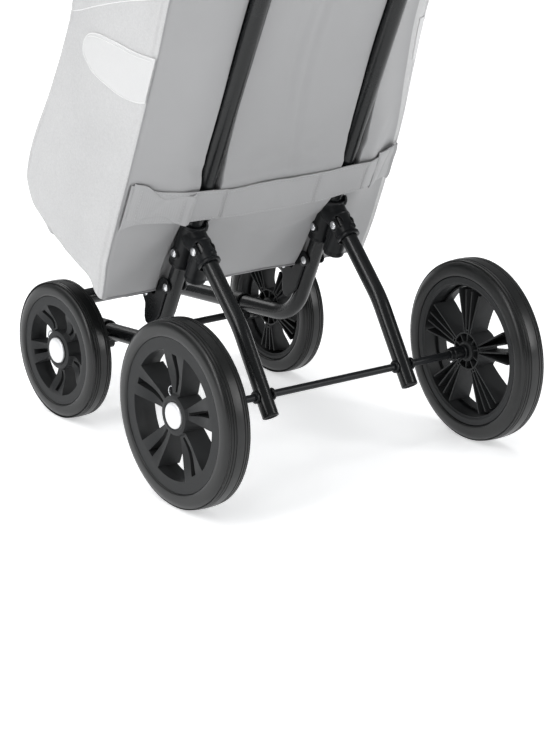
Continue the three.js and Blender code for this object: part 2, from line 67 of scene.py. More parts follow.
# ------------------------------------------------------------ driving dimensions
REAR_AXLE = centre("rear_axle")
FRONT_AXLE = centre("front_axle")
SIDE = centre("rear_leg_right").x            # half spacing of the frame tubes and of the legs
LEAN = math.radians(22.5)
TUBE_OFFSET = 218.75                         # from the rear axle's foot to the leaning tube plane
UPPER_R = 11.0                               # radii of the upper tubes, lower tube and legs, and axles
LOWER_R = 9.0
AXLE_R = 4.0
BASE_FALL = -0.12                            # fall of the base tubes per millimetre forward
BASE_Z = 125.0                               # their height over the rear axle
PIVOT = Vector((0, -26.4, 167.7))            # leg pivot in the leaning frame (x, n, u)
BRACKET_RIVET_U = 146.3
CHANNEL_RIVET_U = 99.4
SHELF_U = 71.7                               # height of the shelf frame up the lean
SHELF_PIVOT_N = 28.7
SHELF_FRONT_N = 172.0
SHELF_R = 6.0
UPPER_FOOT_U = 134.0                         # lower end of the upper tubes
LOWER_HEAD_U = 172.0                         # upper ends of the lower tube, inside them
FRONT_BAR_REACH = 154.0                      # front bar of the base, ahead of the front axle
LEG_OVERRUN = 22.0                           # length of a leg past the axle
HUB_R = 21.0
CAP_R = 14.2
CAP_SEAT = 6.0                               # depth of the hub cap's seat
# Each wheel row, the body that its axle rides on, and the axle's middle.
AXLES = (("rear", "rear_legs", REAR_AXLE), ("front", "frame", FRONT_AXLE))


def lean(x, n, u):
    """A point of the leaning frame: x to the right, n forward of the tube plane, u up the tubes."""
    forward = n + TUBE_OFFSET
    return Vector((x, REAR_AXLE.y + forward * math.cos(LEAN) - u * math.sin(LEAN),
                   forward * math.sin(LEAN) + u * math.cos(LEAN)))


def base_height(y):
    return BASE_Z + BASE_FALL * (y - REAR_AXLE.y)


def smoothstep(low, high, value):
    t = min(max((value - low) / (high - low), 0.0), 1.0)
    return t * t * (3 - 2 * t)


def bump(value, middle, width):
    """A soft hump of height 1 about the middle, gone beyond the width."""
    t = min(abs(value - middle) / width, 1.0)
    return (1 - t * t) ** 2


# ------------------------------------------------------------ camera, lights and floor
def make_camera():
    """The photograph's view; its place and distance are in metres."""
    azimuth, elevation, roll = (math.radians(a) for a in (-36.974, 19.069, 1.566))
    distance = 4.15618
    target = Vector((0.04146, 0.01404, 0.05586))
    back = Vector((math.sin(azimuth) * math.cos(elevation),
                   -math.cos(azimuth) * math.cos(elevation), math.sin(elevation)))
    data = bpy.data.cameras.new("camera")
    data.lens = 183.136
    data.sensor_width = 36
    data.clip_end = 100
    camera = bpy.data.objects.new("camera", data)
    camera.rotation_mode = "QUATERNION"
    camera.location = target + back * distance
    camera.rotation_quaternion = Quaternion(back, roll) @ (-back).to_track_quat("-Z", "Y")
    scene.collection.objects.link(camera)
    scene.camera = camera


def area_light(name, location, target, width, height, power):
    """A rectangular lamp aimed at a target, in metres and watts."""
    data = bpy.data.lights.new(name, "AREA")
    data.shape = "RECTANGLE"
    data.size = width
    data.size_y = height
    data.energy = power
    light = bpy.data.objects.new(name, data)
    light.location = location
    light.rotation_euler = (Vector(target) - Vector(location)).to_track_quat("-Z", "Y").to_euler()
    scene.collection.objects.link(light)


def make_studio():
    """A soft sky, three soft boxes and a pale floor."""
    scene.view_settings.view_transform = "Standard"
    world = bpy.data.worlds.new("studio")
    world.use_nodes = True
    background = world.node_tree.nodes["Background"]
    background.inputs["Color"].default_value = (0.97, 0.985, 1.0, 1)
    background.inputs["Strength"].default_value = 0.26
    scene.world = world
    middle = (0, 0, 0.3)
    sky = bpy.data.objects.new("top_sky_light", bpy.data.lights.new("top_sky_light", "SUN"))
    sky.data.energy = 1.35
    sky.data.angle = math.radians(70)
    sky.rotation_euler = (math.radians(-14), math.radians(-12), 0)
    scene.collection.objects.link(sky)
    area_light("left_softbox", (-2.6, -0.6, 1.7), middle, 0.5, 2.4, 34)
    area_light("right_softbox", (1.9, -2.6, 1.5), middle, 0.45, 1.8, 31)
    area_light("back_softbox", (0.5, 3.2, 2.4), middle, 2.0, 1.0, 24)

    floor_side = 40000
    floor = new_object("floor", *grid_sheet(2, 2, lambda i, j: Vector((i - 0.5, j - 0.5, 0)) * floor_side))
    floor.data.materials.append(floor_material())


# ------------------------------------------------------------ mesh tools
def new_object(name, points, faces):
    mesh = bpy.data.meshes.new(name)
    mesh.from_pydata([Vector(p) * MM for p in points], [], faces)
    mesh.validate()
    obj = bpy.data.objects.new(name, mesh)
    scene.collection.objects.link(obj)
    return obj


def clean(obj, angle=35):
    """Welds, turns the faces outward and shades smooth up to the given edge angle."""
    work = bmesh.new()
    work.from_mesh(obj.data)
    bmesh.ops.remove_doubles(work, verts=work.verts, dist=1e-6)
    bmesh.ops.dissolve_degenerate(work, dist=1e-7, edges=work.edges)
    bmesh.ops.recalc_face_normals(work, faces=work.faces)
    work.to_mesh(obj.data)
    work.free()
    obj.data.shade_smooth()
    obj.data.set_sharp_from_angle(angle=math.radians(angle))
    return obj


def finish_piece(obj, body, material, slot, *nodes):
    """Gives a piece its material and body, and hides the CAD nodes it stands in for; the slot is not used."""
    if material is not None:
        obj.data.materials.clear()
        obj.data.materials.append(material)
    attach(obj, body)
    if nodes:
        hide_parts(*nodes)
    return obj


def make_piece(name, shape, body, material, slot, *nodes, angle=35):
    """A cleaned and finished piece from (points, faces)."""
    return finish_piece(clean(new_object(name, *shape), angle), body, material, slot, *nodes)


def bevel(obj, width, segments=2, angle=32):
    modifier = obj.modifiers.new("edge", "BEVEL")
    modifier.width = width * MM
    modifier.segments = segments
    modifier.limit_method = "ANGLE"
    modifier.angle_limit = math.radians(angle)
    modifier.harden_normals = True
    return obj


def grid_sheet(across, along, place):
    """Points and faces of a grid: place(s, t) with s and t from 0 to 1."""
    points = [place(i / (across - 1), j / (along - 1)) for j in range(along) for i in range(across)]
    faces = [(j * across + i, j * across + i + 1, (j + 1) * across + i + 1, (j + 1) * across + i)
             for j in range(along - 1) for i in range(across - 1)]
    return points, faces


def ring_faces(count, rings):
    """Faces between rings of points that each close on themselves."""
    return [(j * count + i, j * count + (i + 1) % count,
             (j + 1) * count + (i + 1) % count, (j + 1) * count + i)
            for j in range(rings - 1) for i in range(count)]


def thicken(obj, thickness, offset=0):
    """Gives a sheet its thickness: half on each side of it, or all behind it with offset -1."""
    shell = obj.modifiers.new("thickness", "SOLIDIFY")
    shell.thickness = thickness * MM
    shell.offset = offset


def bent_line(corners, radii, steps=14):
    """Points of straight runs joined by round bends."""
    line = [corners[0].copy()]
    for before, corner, after, radius in zip(corners, corners[1:], corners[2:], radii):
        into = (corner - before).normalized()
        out = (after - corner).normalized()
        angle = into.angle(out)
        side = (out - into * math.cos(angle)).normalized()
        start = corner - into * radius * math.tan(angle / 2)
        for k in range(steps + 1):
            a = angle * k / steps
            line.append(start + into * radius * math.sin(a) + side * radius * (1 - math.cos(a)))
    line.append(corners[-1].copy())
    return line


def densify(line, longest):
    """The same line with no step longer than given."""
    out = [line[0]]
    for a, b in zip(line, line[1:]):
        parts = max(1, math.ceil((b - a).length / longest))
        out.extend(a.lerp(b, (k + 1) / parts) for k in range(parts))
    return out


def sweep(line, section):
    """A section, points (across, over), carried along a line without twist."""
    tangents = [(line[min(i + 1, len(line) - 1)] - line[max(i - 1, 0)]).normalized()
                for i in range(len(line))]
    normal = tangents[0].orthogonal().normalized()
    points, faces = [], []
    count = len(section)
    for i, (at, tangent) in enumerate(zip(line, tangents)):
        normal = (normal - tangent * normal.dot(tangent)).normalized()
        other = tangent.cross(normal)
        points.extend(at + normal * a + other * b for a, b in section)
        if i:
            low, high = (i - 1) * count, i * count
            faces.extend((low + k, low + (k + 1) % count, high + (k + 1) % count, high + k)
                         for k in range(count))
    faces.append(tuple(range(count))[::-1])
    faces.append(tuple(range(len(points) - count, len(points))))
    return points, faces


def ring(radius, count):
    return [(radius * math.cos(2 * math.pi * k / count), radius * math.sin(2 * math.pi * k / count))
            for k in range(count)]


def pipe(line, radius, count=40, edge=0.7):
    """A round bar along a line, with its two end edges eased."""
    points, faces = sweep(line, ring(radius, count))
    first, last = (line[0] - line[1]).normalized(), (line[-1] - line[-2]).normalized()
    eased = []
    for at, out in ((line[0], first), (line[-1], last)):
        rim = points[:count] if at is line[0] else points[-count:]
        eased.append([at + (p - at) * (1 - edge / radius) + out * edge for p in rim])
    faces = faces[:-2]
    total = len(points)
    points = points + eased[0] + eased[1]
    faces += [(k, total + k, total + (k + 1) % count, (k + 1) % count) for k in range(count)]
    base = total - count
    faces += [(base + k, base + (k + 1) % count, total + count + (k + 1) % count, total + count + k)
              for k in range(count)]
    faces.append(tuple(range(total, total + count)))
    faces.append(tuple(range(total + count, total + 2 * count)))
    return points, faces


def lathe(profile, steps, at=Vector((0, 0, 0)), flip=1):
    """A turned piece about the X axis, from (x, radius) pairs; radius 0 closes it on the axis."""
    points, faces, rings = [], [], []
    for x, radius in profile:
        count = 1 if radius == 0 else steps
        rings.append(range(len(points), len(points) + count))
        points.extend(Vector((flip * x, radius * math.cos(2 * math.pi * k / steps),
                              radius * math.sin(2 * math.pi * k / steps))) + at for k in range(count))
    for a, b in zip(rings, rings[1:]):
        for k in range(steps):
            corners = (a[k % len(a)], a[(k + 1) % len(a)], b[(k + 1) % len(b)], b[k % len(b)])
            face = tuple(dict.fromkeys(corners))
            if len(face) > 2:
                faces.append(face)
    return points, faces


def baked(obj):
    """The object with its modifiers applied."""
    graph = bpy.context.evaluated_depsgraph_get()
    mesh = bpy.data.meshes.new_from_object(obj.evaluated_get(graph))
    obj.modifiers.clear()
    old = obj.data
    obj.data = mesh
    bpy.data.meshes.remove(old)
    obj.data.name = obj.name
    return obj


def carve(name, added, removed):
    """A solid from (points, faces) pieces joined together, less the removed ones."""
    body = new_object(name, *added[0])
    clean(body)
    tools = []
    for operation, shapes in (("UNION", added[1:]), ("DIFFERENCE", removed)):
        for shape in shapes:
            tool = clean(new_object(f"{name}_tool", *shape))
            tools.append(tool)
            modifier = body.modifiers.new("cut", "BOOLEAN")
            modifier.operation = operation
            modifier.solver = "MANIFOLD"
            modifier.object = tool
    baked(body)
    for tool in tools:
        bpy.data.objects.remove(tool)
    return body


def mould(obj, voxel, rounds):
    """Remeshes a joined solid finely and eases its edges, as a moulding has them."""
    remesh = obj.modifiers.new("fine", "REMESH")
    remesh.mode = "VOXEL"
    remesh.voxel_size = voxel * MM
    ease = obj.modifiers.new("ease", "SMOOTH")
    ease.factor = 0.5
    ease.iterations = rounds
    baked(obj)
    obj.data.shade_smooth()
    return obj


def rod(a, b, radius):
    return sweep([Vector(a), Vector(b)], ring(radius, 56))


def plate(outline, thickness, x=0):
    """A flat plate across X, with an outline of (y, z) points."""
    count = len(outline)
    points = [Vector((x + s * thickness / 2, y, z)) for s in (-1, 1) for y, z in outline]
    faces = [tuple(range(count))[::-1], tuple(range(count, 2 * count))]
    faces += [(k, (k + 1) % count, count + (k + 1) % count, count + k) for k in range(count)]
    return points, faces


def rounded(outline, radius):
    """A closed outline of (y, z) points with its corners rounded."""
    out = []
    count, steps = len(outline), 5
    for k in range(count):
        corner = Vector(outline[k])
        before = Vector(outline[k - 1]) - corner
        after = Vector(outline[(k + 1) % count]) - corner
        reach = min(radius, before.length / 2.2, after.length / 2.2)
        start, end = corner + before.normalized() * reach, corner + after.normalized() * reach
        for i in range(steps + 1):
            t = i / steps
            out.append(tuple(start * (1 - t) ** 2 + corner * 2 * t * (1 - t) + end * t * t))
    return out


def unlean(point):
    """The leaning frame's (x, n, u) of a point."""
    y, z = point.y - REAR_AXLE.y, point.z
    return Vector((point.x, y * math.cos(LEAN) + z * math.sin(LEAN) - TUBE_OFFSET,
                   z * math.cos(LEAN) - y * math.sin(LEAN)))


def leaned(shape):
    """A shape made in the leaning frame, carried to the row frame."""
    points, faces = shape
    return [lean(*p) for p in points], faces


# ------------------------------------------------------------ materials
def node(tree, kind, inputs=None, **settings):
    """A shader node; an input is a value or another node's output."""
    made = tree.nodes.new(kind)
    for key, value in settings.items():
        setattr(made, key, value)
    for key, value in (inputs or {}).items():
        if isinstance(value, bpy.types.NodeSocket):
            tree.links.new(value, made.inputs[key])
        else:
            made.inputs[key].default_value = value
    return made


def math_node(tree, operation, a, b=0.0):
    return node(tree, "ShaderNodeMath", {0: a, 1: b}, operation=operation).outputs[0]


def start_material(name, metallic=0.0, specular=0.5):
    material = bpy.data.materials.new(name)
    material.use_nodes = True
    tree = material.node_tree
    shader = tree.nodes["Principled BSDF"]
    shader.inputs["Metallic"].default_value = metallic
    shader.inputs["Specular IOR Level"].default_value = specular
    return material, tree, shader


def noise_value(tree, vector, scale, detail=3.0, roughness=0.55):
    made = node(tree, "ShaderNodeTexNoise",
                {"Vector": vector, "Scale": scale, "Detail": detail, "Roughness": roughness})
    return made.outputs["Fac"]


def ramp(tree, value, low, high, from_low=0.3, from_high=0.7):
    made = node(tree, "ShaderNodeMapRange", {"Value": value, "From Min": from_low, "From Max": from_high,
                                             "To Min": low, "To Max": high})
    return made.outputs["Result"]


def colour_between(tree, value, low, high):
    mix = node(tree, "ShaderNodeMix", data_type="RGBA")
    tree.links.new(value, mix.inputs["Factor"])
    mix.inputs["A"].default_value = (*low, 1)
    mix.inputs["B"].default_value = (*high, 1)
    return mix.outputs["Result"]


def set_bump(tree, shader, height, distance):
    made = node(tree, "ShaderNodeBump", {"Height": height, "Distance": distance * MM})
    tree.links.new(made.outputs["Normal"], shader.inputs["Normal"])


# Noise scales are per metre; grain, pitch and depths are in millimetres.
def hard_material(name, dark, light, roughness, grain, grain_depth, wear=0.0, metallic=0.0,
                  specular=0.5):
    """Paint, moulded plastic, rubber or metal: mottled colour, uneven gloss, a fine grain and scuffs."""
    material, tree, shader = start_material(name, metallic, specular)
    place = node(tree, "ShaderNodeTexCoord").outputs["Object"]
    broad = noise_value(tree, place, 14.0)
    fine = noise_value(tree, place, 1000.0 / grain, detail=2.0)
    scuff = noise_value(tree, place, 160.0, detail=6.0, roughness=0.7)
    colour = colour_between(tree, ramp(tree, broad, 0.0, 1.0), dark, light)
    if wear:
        amount = ramp(tree, scuff, 0.0, wear, 0.62, 0.74)
        mix = node(tree, "ShaderNodeMix", data_type="RGBA")
        tree.links.new(amount, mix.inputs["Factor"])
        tree.links.new(colour, mix.inputs["A"])
        mix.inputs["B"].default_value = (*(c * 1.6 + 0.002 for c in light), 1)
        colour = mix.outputs["Result"]
    tree.links.new(colour, shader.inputs["Base Color"])
    gloss = math_node(tree, "ADD", ramp(tree, broad, roughness[0], roughness[1]),
                      ramp(tree, scuff, -0.008, 0.016))
    tree.links.new(gloss, shader.inputs["Roughness"])
    set_bump(tree, shader, fine, grain_depth)
    return material


def cloth_material(name, dark, light, pitch, depth, roughness, fleck=0.0, twill=0.0, ribbed=False):
    """Woven cloth: threads over and under at the given pitch, uneven yarn, and soft mottling."""
    material, tree, shader = start_material(name, specular=0.3)
    for socket, value in (("Roughness", roughness), ("Sheen Weight", 0.15), ("Sheen Roughness", 0.45)):
        shader.inputs[socket].default_value = value
    cloth = node(tree, "ShaderNodeAttribute", attribute_name="cloth",
                 attribute_type="GEOMETRY").outputs["Vector"]
    place = node(tree, "ShaderNodeTexCoord").outputs["Object"]
    split = node(tree, "ShaderNodeSeparateXYZ", {"Vector": cloth}).outputs
    wobble = noise_value(tree, place, 260.0, detail=2.0)
    turns = 2 * math.pi / pitch
    across = math_node(tree, "MULTIPLY_ADD", split["X"], turns)
    along = math_node(tree, "MULTIPLY", split["Y"], turns)
    if twill:
        along = math_node(tree, "ADD", along, math_node(tree, "MULTIPLY", split["X"], twill))
    across = math_node(tree, "ADD", across, math_node(tree, "MULTIPLY", wobble, 2.5))
    warp = math_node(tree, "SINE", across)
    weft = math_node(tree, "SINE", along)
    weave = warp if ribbed else math_node(tree, "MULTIPLY", warp, weft)
    weave = math_node(tree, "MULTIPLY_ADD", weave, 0.5)
    yarn = noise_value(tree, place, 900.0, detail=3.0)
    broad = noise_value(tree, place, 9.0, detail=4.0)
    height = math_node(tree, "ADD", weave, math_node(tree, "MULTIPLY", yarn, 0.8))
    shade = math_node(tree, "ADD", ramp(tree, broad, 0.25, 0.6), math_node(tree, "MULTIPLY", weave, 0.3))
    if fleck:
        spots = ramp(tree, noise_value(tree, place, 420.0, detail=5.0, roughness=0.75), -fleck, fleck)
        shade = math_node(tree, "ADD", shade, spots)
    tree.links.new(colour_between(tree, shade, dark, light), shader.inputs["Base Color"])
    set_bump(tree, shader, height, depth)
    return material


def floor_material():
    """Pale studio paper that glows a little, so that it stays near white under the object."""
    material, tree, shader = start_material("studio_floor", specular=0.2)
    place = node(tree, "ShaderNodeTexCoord").outputs["Object"]
    colour = colour_between(tree, noise_value(tree, place, 3.0), (0.945, 0.95, 0.955), (0.965, 0.97, 0.975))
    tree.links.new(colour, shader.inputs["Base Color"])
    tree.links.new(colour, shader.inputs["Emission Color"])
    shader.inputs["Emission Strength"].default_value = 0.5
    shader.inputs["Roughness"].default_value = 0.55
    return material


# ------------------------------------------------------------ frame tubes, axles and grip
def leg_bend(s):
    """Where a leg bends down to the axle."""
    return Vector((s * SIDE, REAR_AXLE.y + 44, 163))


def leg_end(s):
    """The end of a leg, past the axle, and the way that it points."""
    axle = Vector((s * SIDE, REAR_AXLE.y, REAR_AXLE.z))
    down = (axle - leg_bend(s)).normalized()
    return axle + down * LEG_OVERRUN, down


def make_tubes(paint):
    handle_top = unlean(centre("handle_grip")).z
    corner_bend, base_bend, shelf_bend, leg_bend_radius = 45, 55, 30, 120
    line = bent_line([lean(-SIDE, 0, UPPER_FOOT_U), lean(-SIDE, 0, handle_top),
                      lean(SIDE, 0, handle_top), lean(SIDE, 0, UPPER_FOOT_U)], [corner_bend] * 2)
    make_piece("upper_frame_tube", pipe(line, UPPER_R), "frame", paint, "tube_paint", "upper_frame")

    front_y = FRONT_AXLE.y + FRONT_BAR_REACH
    corners = {}
    for side, s in SIDES:
        top = lean(s * SIDE, 0, LOWER_HEAD_U)
        slope = -math.tan(LEAN)
        reach = top.y - REAR_AXLE.y
        y = (reach - slope * top.z + slope * BASE_Z) / (1 - slope * BASE_FALL) + REAR_AXLE.y
        corners[side] = [top, Vector((s * SIDE, y, base_height(y))),
                         Vector((s * SIDE, front_y, base_height(front_y)))]
    line = bent_line(corners["left"] + corners["right"][::-1],
                     [base_bend, corner_bend, corner_bend, base_bend])
    make_piece("lower_frame_tube", pipe(line, LOWER_R), "frame", paint, "tube_paint", "lower_frame")

    shelf_rear_n = 20
    line = bent_line([lean(-SIDE, shelf_rear_n, SHELF_U), lean(-SIDE, SHELF_FRONT_N, SHELF_U),
                      lean(SIDE, SHELF_FRONT_N, SHELF_U), lean(SIDE, shelf_rear_n, SHELF_U)],
                     [shelf_bend] * 2, 8)
    make_piece("shelf_frame_tube", pipe(line, SHELF_R, 28), "frame", paint, "tube_paint", "shelf_frame")

    pivot = lean(*PIVOT)
    leg_top = 8
    for side, s in SIDES:
        bend = leg_bend(s)
        top = Vector((s * SIDE, pivot.y, pivot.z))
        top += (top - bend).normalized() * leg_top
        line = bent_line([top, bend, leg_end(s)[0]], [leg_bend_radius])
        make_piece(f"rear_leg_tube_{side}", pipe(line, LOWER_R), "rear_legs", paint, "tube_paint",
                   f"rear_leg_{side}")


def make_axles(steel):
    for row, body, at in AXLES:
        half = size(f"{row}_axle").x / 2
        line = [Vector((-half, at.y, at.z)), Vector((half, at.y, at.z))]
        make_piece(f"{row}_axle_rod", pipe(line, AXLE_R, 28, 0.6), body, steel, "axle_steel",
                   f"{row}_axle")


def dome_profile(x, radius, height, steps=6):
    """Turned points of a rounded end: from the rim at x out to its crown."""
    return [(x + height * math.sin(math.pi / 2 * k / steps),
             radius * math.cos(math.pi / 2 * k / steps) if k < steps else 0) for k in range(steps + 1)]


def make_rivets(steel):
    for side, s in SIDES:
        x = s * SIDE
        for name, half, head, n, u in (
                (f"bracket_rivet_{side}", 14.5, 4.4, 0, BRACKET_RIVET_U),
                (f"leg_pivot_pin_{side}", 12.2, 4.6, PIVOT.y, PIVOT.z),
                (f"channel_rivet_{side}", 11.5, 4.4, 0, CHANNEL_RIVET_U),
                (f"shelf_rivet_{side}", 11.5, 4.4, SHELF_PIVOT_N, SHELF_U)):
            seat, shank, crown = half + 0.3, 2.5, 2.0
            out = dome_profile(seat, head, crown)
            profile = [(-a, r) for a, r in out[::-1]] + [(-seat, shank), (seat, shank)] + out
            make_piece(f"{name}_head", leaned(lathe(profile, 32, Vector((x, n, u)))), "frame", steel,
                       "rivet_steel", name)


def make_grip(foam):
    low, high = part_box("handle_grip")
    half = (high.x - low.x) / 2 / MM
    top = unlean(centre("handle_grip")).z
    outer, swell, bore, ends = 15.6, 0.5, UPPER_R + 0.2, 3.0
    profile = [(-half, bore), (-half, outer - ends)]
    profile += [(-half + ends * (1 - math.cos(a)), outer - ends + ends * math.sin(a))
                for a in (0.4, 0.8, 1.2, math.pi / 2)]
    profile += [(x, outer + swell * math.cos(math.pi * x / (2 * half)) - 0.25 * bump(x % 22 - 11, 0, 1.5))
                for x in range(int(-half + ends) + 1, int(half - ends))]
    profile += [(half - ends * (1 - math.cos(a)), outer - ends + ends * math.sin(a))
                for a in (math.pi / 2, 1.2, 0.8, 0.4)]
    profile += [(half, outer - ends), (half, bore), (-half, bore)]
    grip = make_piece("foam_grip", leaned(lathe(profile, 64, Vector((0, 0, top)))), "frame", foam,
                      "grip_foam", "handle_grip")


# ------------------------------------------------------------ brackets
def make_side_brackets(plastic):
    """Sleeves on the main tube and on the leg, and the stub that the leg folds into."""
    pivot = lean(*PIVOT)
    down = (leg_bend(0) - Vector((0, pivot.y, pivot.z))).normalized()
    out = unlean(down) - unlean(Vector((0, 0, 0)))
    over = Vector((0, out.z, -out.y))

    def at(along, aside, x=0.0):
        """A point along the leg from its pivot, and aside of it."""
        return PIVOT + out * along + over * aside + Vector((x, 0, 0))

    foot, head, reach = 130, 186, 70
    main_r, stub_r, leg_sleeve_r, lip = 13.4, 11.4, 11.6, 4
    clear = LOWER_R + 0.4                    # half width of the slot, and radius of the bores
    swing = [(PIVOT.y, PIVOT.z), (PIVOT.y, PIVOT.z - reach), (PIVOT.y - reach, PIVOT.z - reach),
             tuple(at(reach, 0).yz)]
    stub_slot = [(PIVOT.y, foot - 2), (PIVOT.y, foot + 24), (PIVOT.y - 20, foot + 24),
                 (PIVOT.y - 20, foot - 2)]
    web = [(4, 150), (4, 172), (PIVOT.y, 160), (PIVOT.y, 136)]
    lug = [(0, 180), (0, 187), (-9, 191), (-13, 187.5), (-13, 180)]

    def up(u, n=0.0, x=0.0):
        return Vector((x, n, u))

    def sideways(middle, half):
        return middle - up(0, 0, half), middle + up(0, 0, half)

    for side, s in SIDES:
        x = s * SIDE
        shift = up(0, 0, x)

        def bar(a, b, radius):
            return rod(a + shift, b + shift, radius)

        added = [
            bar(up(foot), up(head), main_r),
            bar(up(head - lip), up(head), main_r + 0.8),
            bar(up(foot), up(foot + 3), main_r + 0.5),
            bar(up(foot, PIVOT.y), PIVOT, stub_r),
            bar(up(171, 2), at(-4, 0), 13.0),
            bar(at(18, 0), at(-26, 0), leg_sleeve_r),
            bar(at(18.4, 0), at(14.8, 0), leg_sleeve_r + 1.3),
            bar(*sideways(PIVOT, 12.2), 6.4),
            bar(*sideways(up(BRACKET_RIVET_U), 14.5), 6.6),
            bar(at(10, 8, 3), at(10, 12.6, 4), 3.2),
            plate(web, 7, x),
            plate(rounded(lug, 1.5), 3, x + 9.5),
        ]
        removed = [
            bar(up(UPPER_FOOT_U - 0.4), up(head + 8), UPPER_R + 0.4),
            bar(up(foot - 5), up(head), clear),
            plate(swing, 2 * clear, x),
            bar(PIVOT, at(reach, 0), clear),
            bar(PIVOT, PIVOT - up(reach), clear),
            plate(stub_slot, 40, x),
            bar(*sideways(PIVOT, clear), 9.9),
        ]
        body = carve(f"side_bracket_body_{side}", [leaned(a) for a in added], [leaned(r) for r in removed])
        mould(body, 0.62, 3)
        finish_piece(body, "frame", plastic, "black_plastic", f"side_bracket_{side}")
        make_leg_boot(side, x, foot, plastic)
        make_leg_ferrule(side, at, x, plastic)


BOOT_WALL = 1.5                              # thickness of the flexible boot and strip


def make_leg_ferrule(side, at, x, plastic):
    """The flexible strip on the leg that closes the sleeve's slot."""
    half_width = LOWER_R - 0.5
    start, length, radius, lip = 4.5, 14.0, 11.5, 1.3

    def place(s, t):
        across = half_width * (2 * s - 1)
        along = start + length * t
        r = radius + lip * smoothstep(14.2, 15.2, along) - 0.5 * smoothstep(18.0, 18.5, along)
        return lean(*at(along, -math.sqrt(r ** 2 - across ** 2), x + across))

    strip = new_object(f"leg_ferrule_{side}", *grid_sheet(19, 30, place))
    thicken(strip, BOOT_WALL)
    clean(strip, 50)
    baked(strip)
    finish_piece(strip, "rear_legs", plastic, "black_plastic")
    middle, above = (lean(*at(10, off, x)) for off in (0, 1))
    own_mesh(strip)


def make_leg_boot(side, x, foot, plastic):
    """The flexible boot behind the stub's slot."""
    height = PIVOT.z - 9.5 - foot

    def place(s, t):
        a = math.pi * (0.98 + 1.04 * s)
        radius = 11.4 + 0.9 * (1 - smoothstep(3.0, 4.2, t * height)) - 0.25 * bump(t, 0.55, 0.3)
        return lean(x + radius * math.cos(a), PIVOT.y + radius * math.sin(a), foot + t * height)

    boot = new_object(f"leg_boot_{side}", *grid_sheet(40, 26, place))
    thicken(boot, BOOT_WALL, -1)
    clean(boot, 50)
    baked(boot)
    finish_piece(boot, "frame", plastic, "black_plastic")
    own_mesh(boot)


def make_channel_brackets(plastic):
    """Brackets on the lower tube that hold the shelf frame; outlines are (n, u)."""
    outline = [(-2, 107), (4, 109), (10, 106), (14.2, 99), (14.2, 77.8), (32, 77.8), (36.5, 74),
               (36.5, 68), (25, 60), (20, 45), (15, 40), (7, 42), (-2, 60)]
    inside = [(-10, 120), (45, 120), (45, 62), (21.5, 62), (17, 46), (14, 30), (-10, 30)]
    for side, s in SIDES:
        x = s * SIDE
        added = [plate(rounded(outline, 2.5), 23, x),
                 rod((x - 12.2, 0, CHANNEL_RIVET_U), (x + 12.2, 0, CHANNEL_RIVET_U), 6.6)]
        removed = [plate(inside, 2 * (LOWER_R + 0.5), x)]
        body = carve(f"channel_bracket_body_{side}", [leaned(a) for a in added], [leaned(r) for r in removed])
        mould(body, 0.75, 2)
        finish_piece(body, "frame", plastic, "black_plastic", f"channel_bracket_{side}")


def make_saddles(plastic):
    """Saddles that hold the front axle under the base tubes."""
    y, z = FRONT_AXLE.y, base_height(FRONT_AXLE.y)
    along = Vector((0, 1, BASE_FALL)).normalized()
    low = FRONT_AXLE.z
    seat = [(y - 9, z - 4), (y - 8, low - 5), (y - 4, low - 8), (y + 4, low - 8), (y + 8, low - 5),
            (y + 9, z - 4)]
    for side, s in SIDES:
        middle = Vector((s * SIDE, y, z))
        body = carve(f"axle_saddle_body_{side}",
                     [rod(middle - along * 9, middle + along * 9, LOWER_R + 2.6),
                      plate(rounded(seat, 3), 18, s * SIDE)],
                     [rod(middle - along * 20, middle + along * 20, LOWER_R + 0.3)])
        mould(body, 0.8, 2)
        finish_piece(body, "frame", plastic, "black_plastic", f"axle_saddle_{side}")


def make_collars(plastic):
    """Stop collars inboard of the wheels, and washers on both sides of each leg."""
    for row, body, at in AXLES:
        for side, s in SIDES:
            name = f"{row}_collar_{side}"
            low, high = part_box(name)
            x0, x1 = sorted((abs(low.x) / MM, abs(high.x) / MM))
            radius, ridge, bore = 7.0, 7.9, AXLE_R + 0.2
            profile = [(x0, bore), (x0, radius - 0.8), (x0 + 0.8, radius), (x0 + 5, radius),
                       (x0 + 5.6, ridge), (x0 + 8.4, ridge), (x0 + 9, radius), (x1 - 3, radius),
                       (x1 - 2.4, ridge), (x1, ridge), (x1, bore), (x0, bore)]
            make_piece(f"{name}_sleeve", lathe(profile, 40, Vector((0, at.y, at.z)), s), body, plastic,
                       "black_plastic", name, angle=30)
    for side, s in SIDES:
        for place, inward in (("inner", -1), ("outer", 1)):
            x = s * SIDE + inward * (LOWER_R + 1.6)
            profile = [(-1.8, AXLE_R), (-1.8, 6.0), (-0.9, 6.8), (0.9, 6.8), (1.8, 6.0), (1.8, AXLE_R),
                       (-1.8, AXLE_R)]
            shape = lathe(profile, 32, Vector((x, REAR_AXLE.y, REAR_AXLE.z)))
            make_piece(f"leg_washer_{place}_{side}", shape, "rear_legs", plastic, "black_plastic")


def make_leg_plugs(plastic):
    for side, s in SIDES:
        end, down = leg_end(s)
        turn = Vector((1, 0, 0)).rotation_difference(down)
        profile = [(-6, 0), (-6, 7.4), (0.2, 7.4), (0.2, 8.8), (1.0, LOWER_R), (1.8, 8.6), (2.2, 7.6),
                   (1.4, 6.6), (-0.4, 6.0), (-0.6, 0)]
        points, faces = lathe(profile, 40)
        make_piece(f"leg_plug_cap_{side}", ([turn @ p + end for p in points], faces), "rear_legs", plastic,
                   "black_plastic", f"leg_plug_{side}")


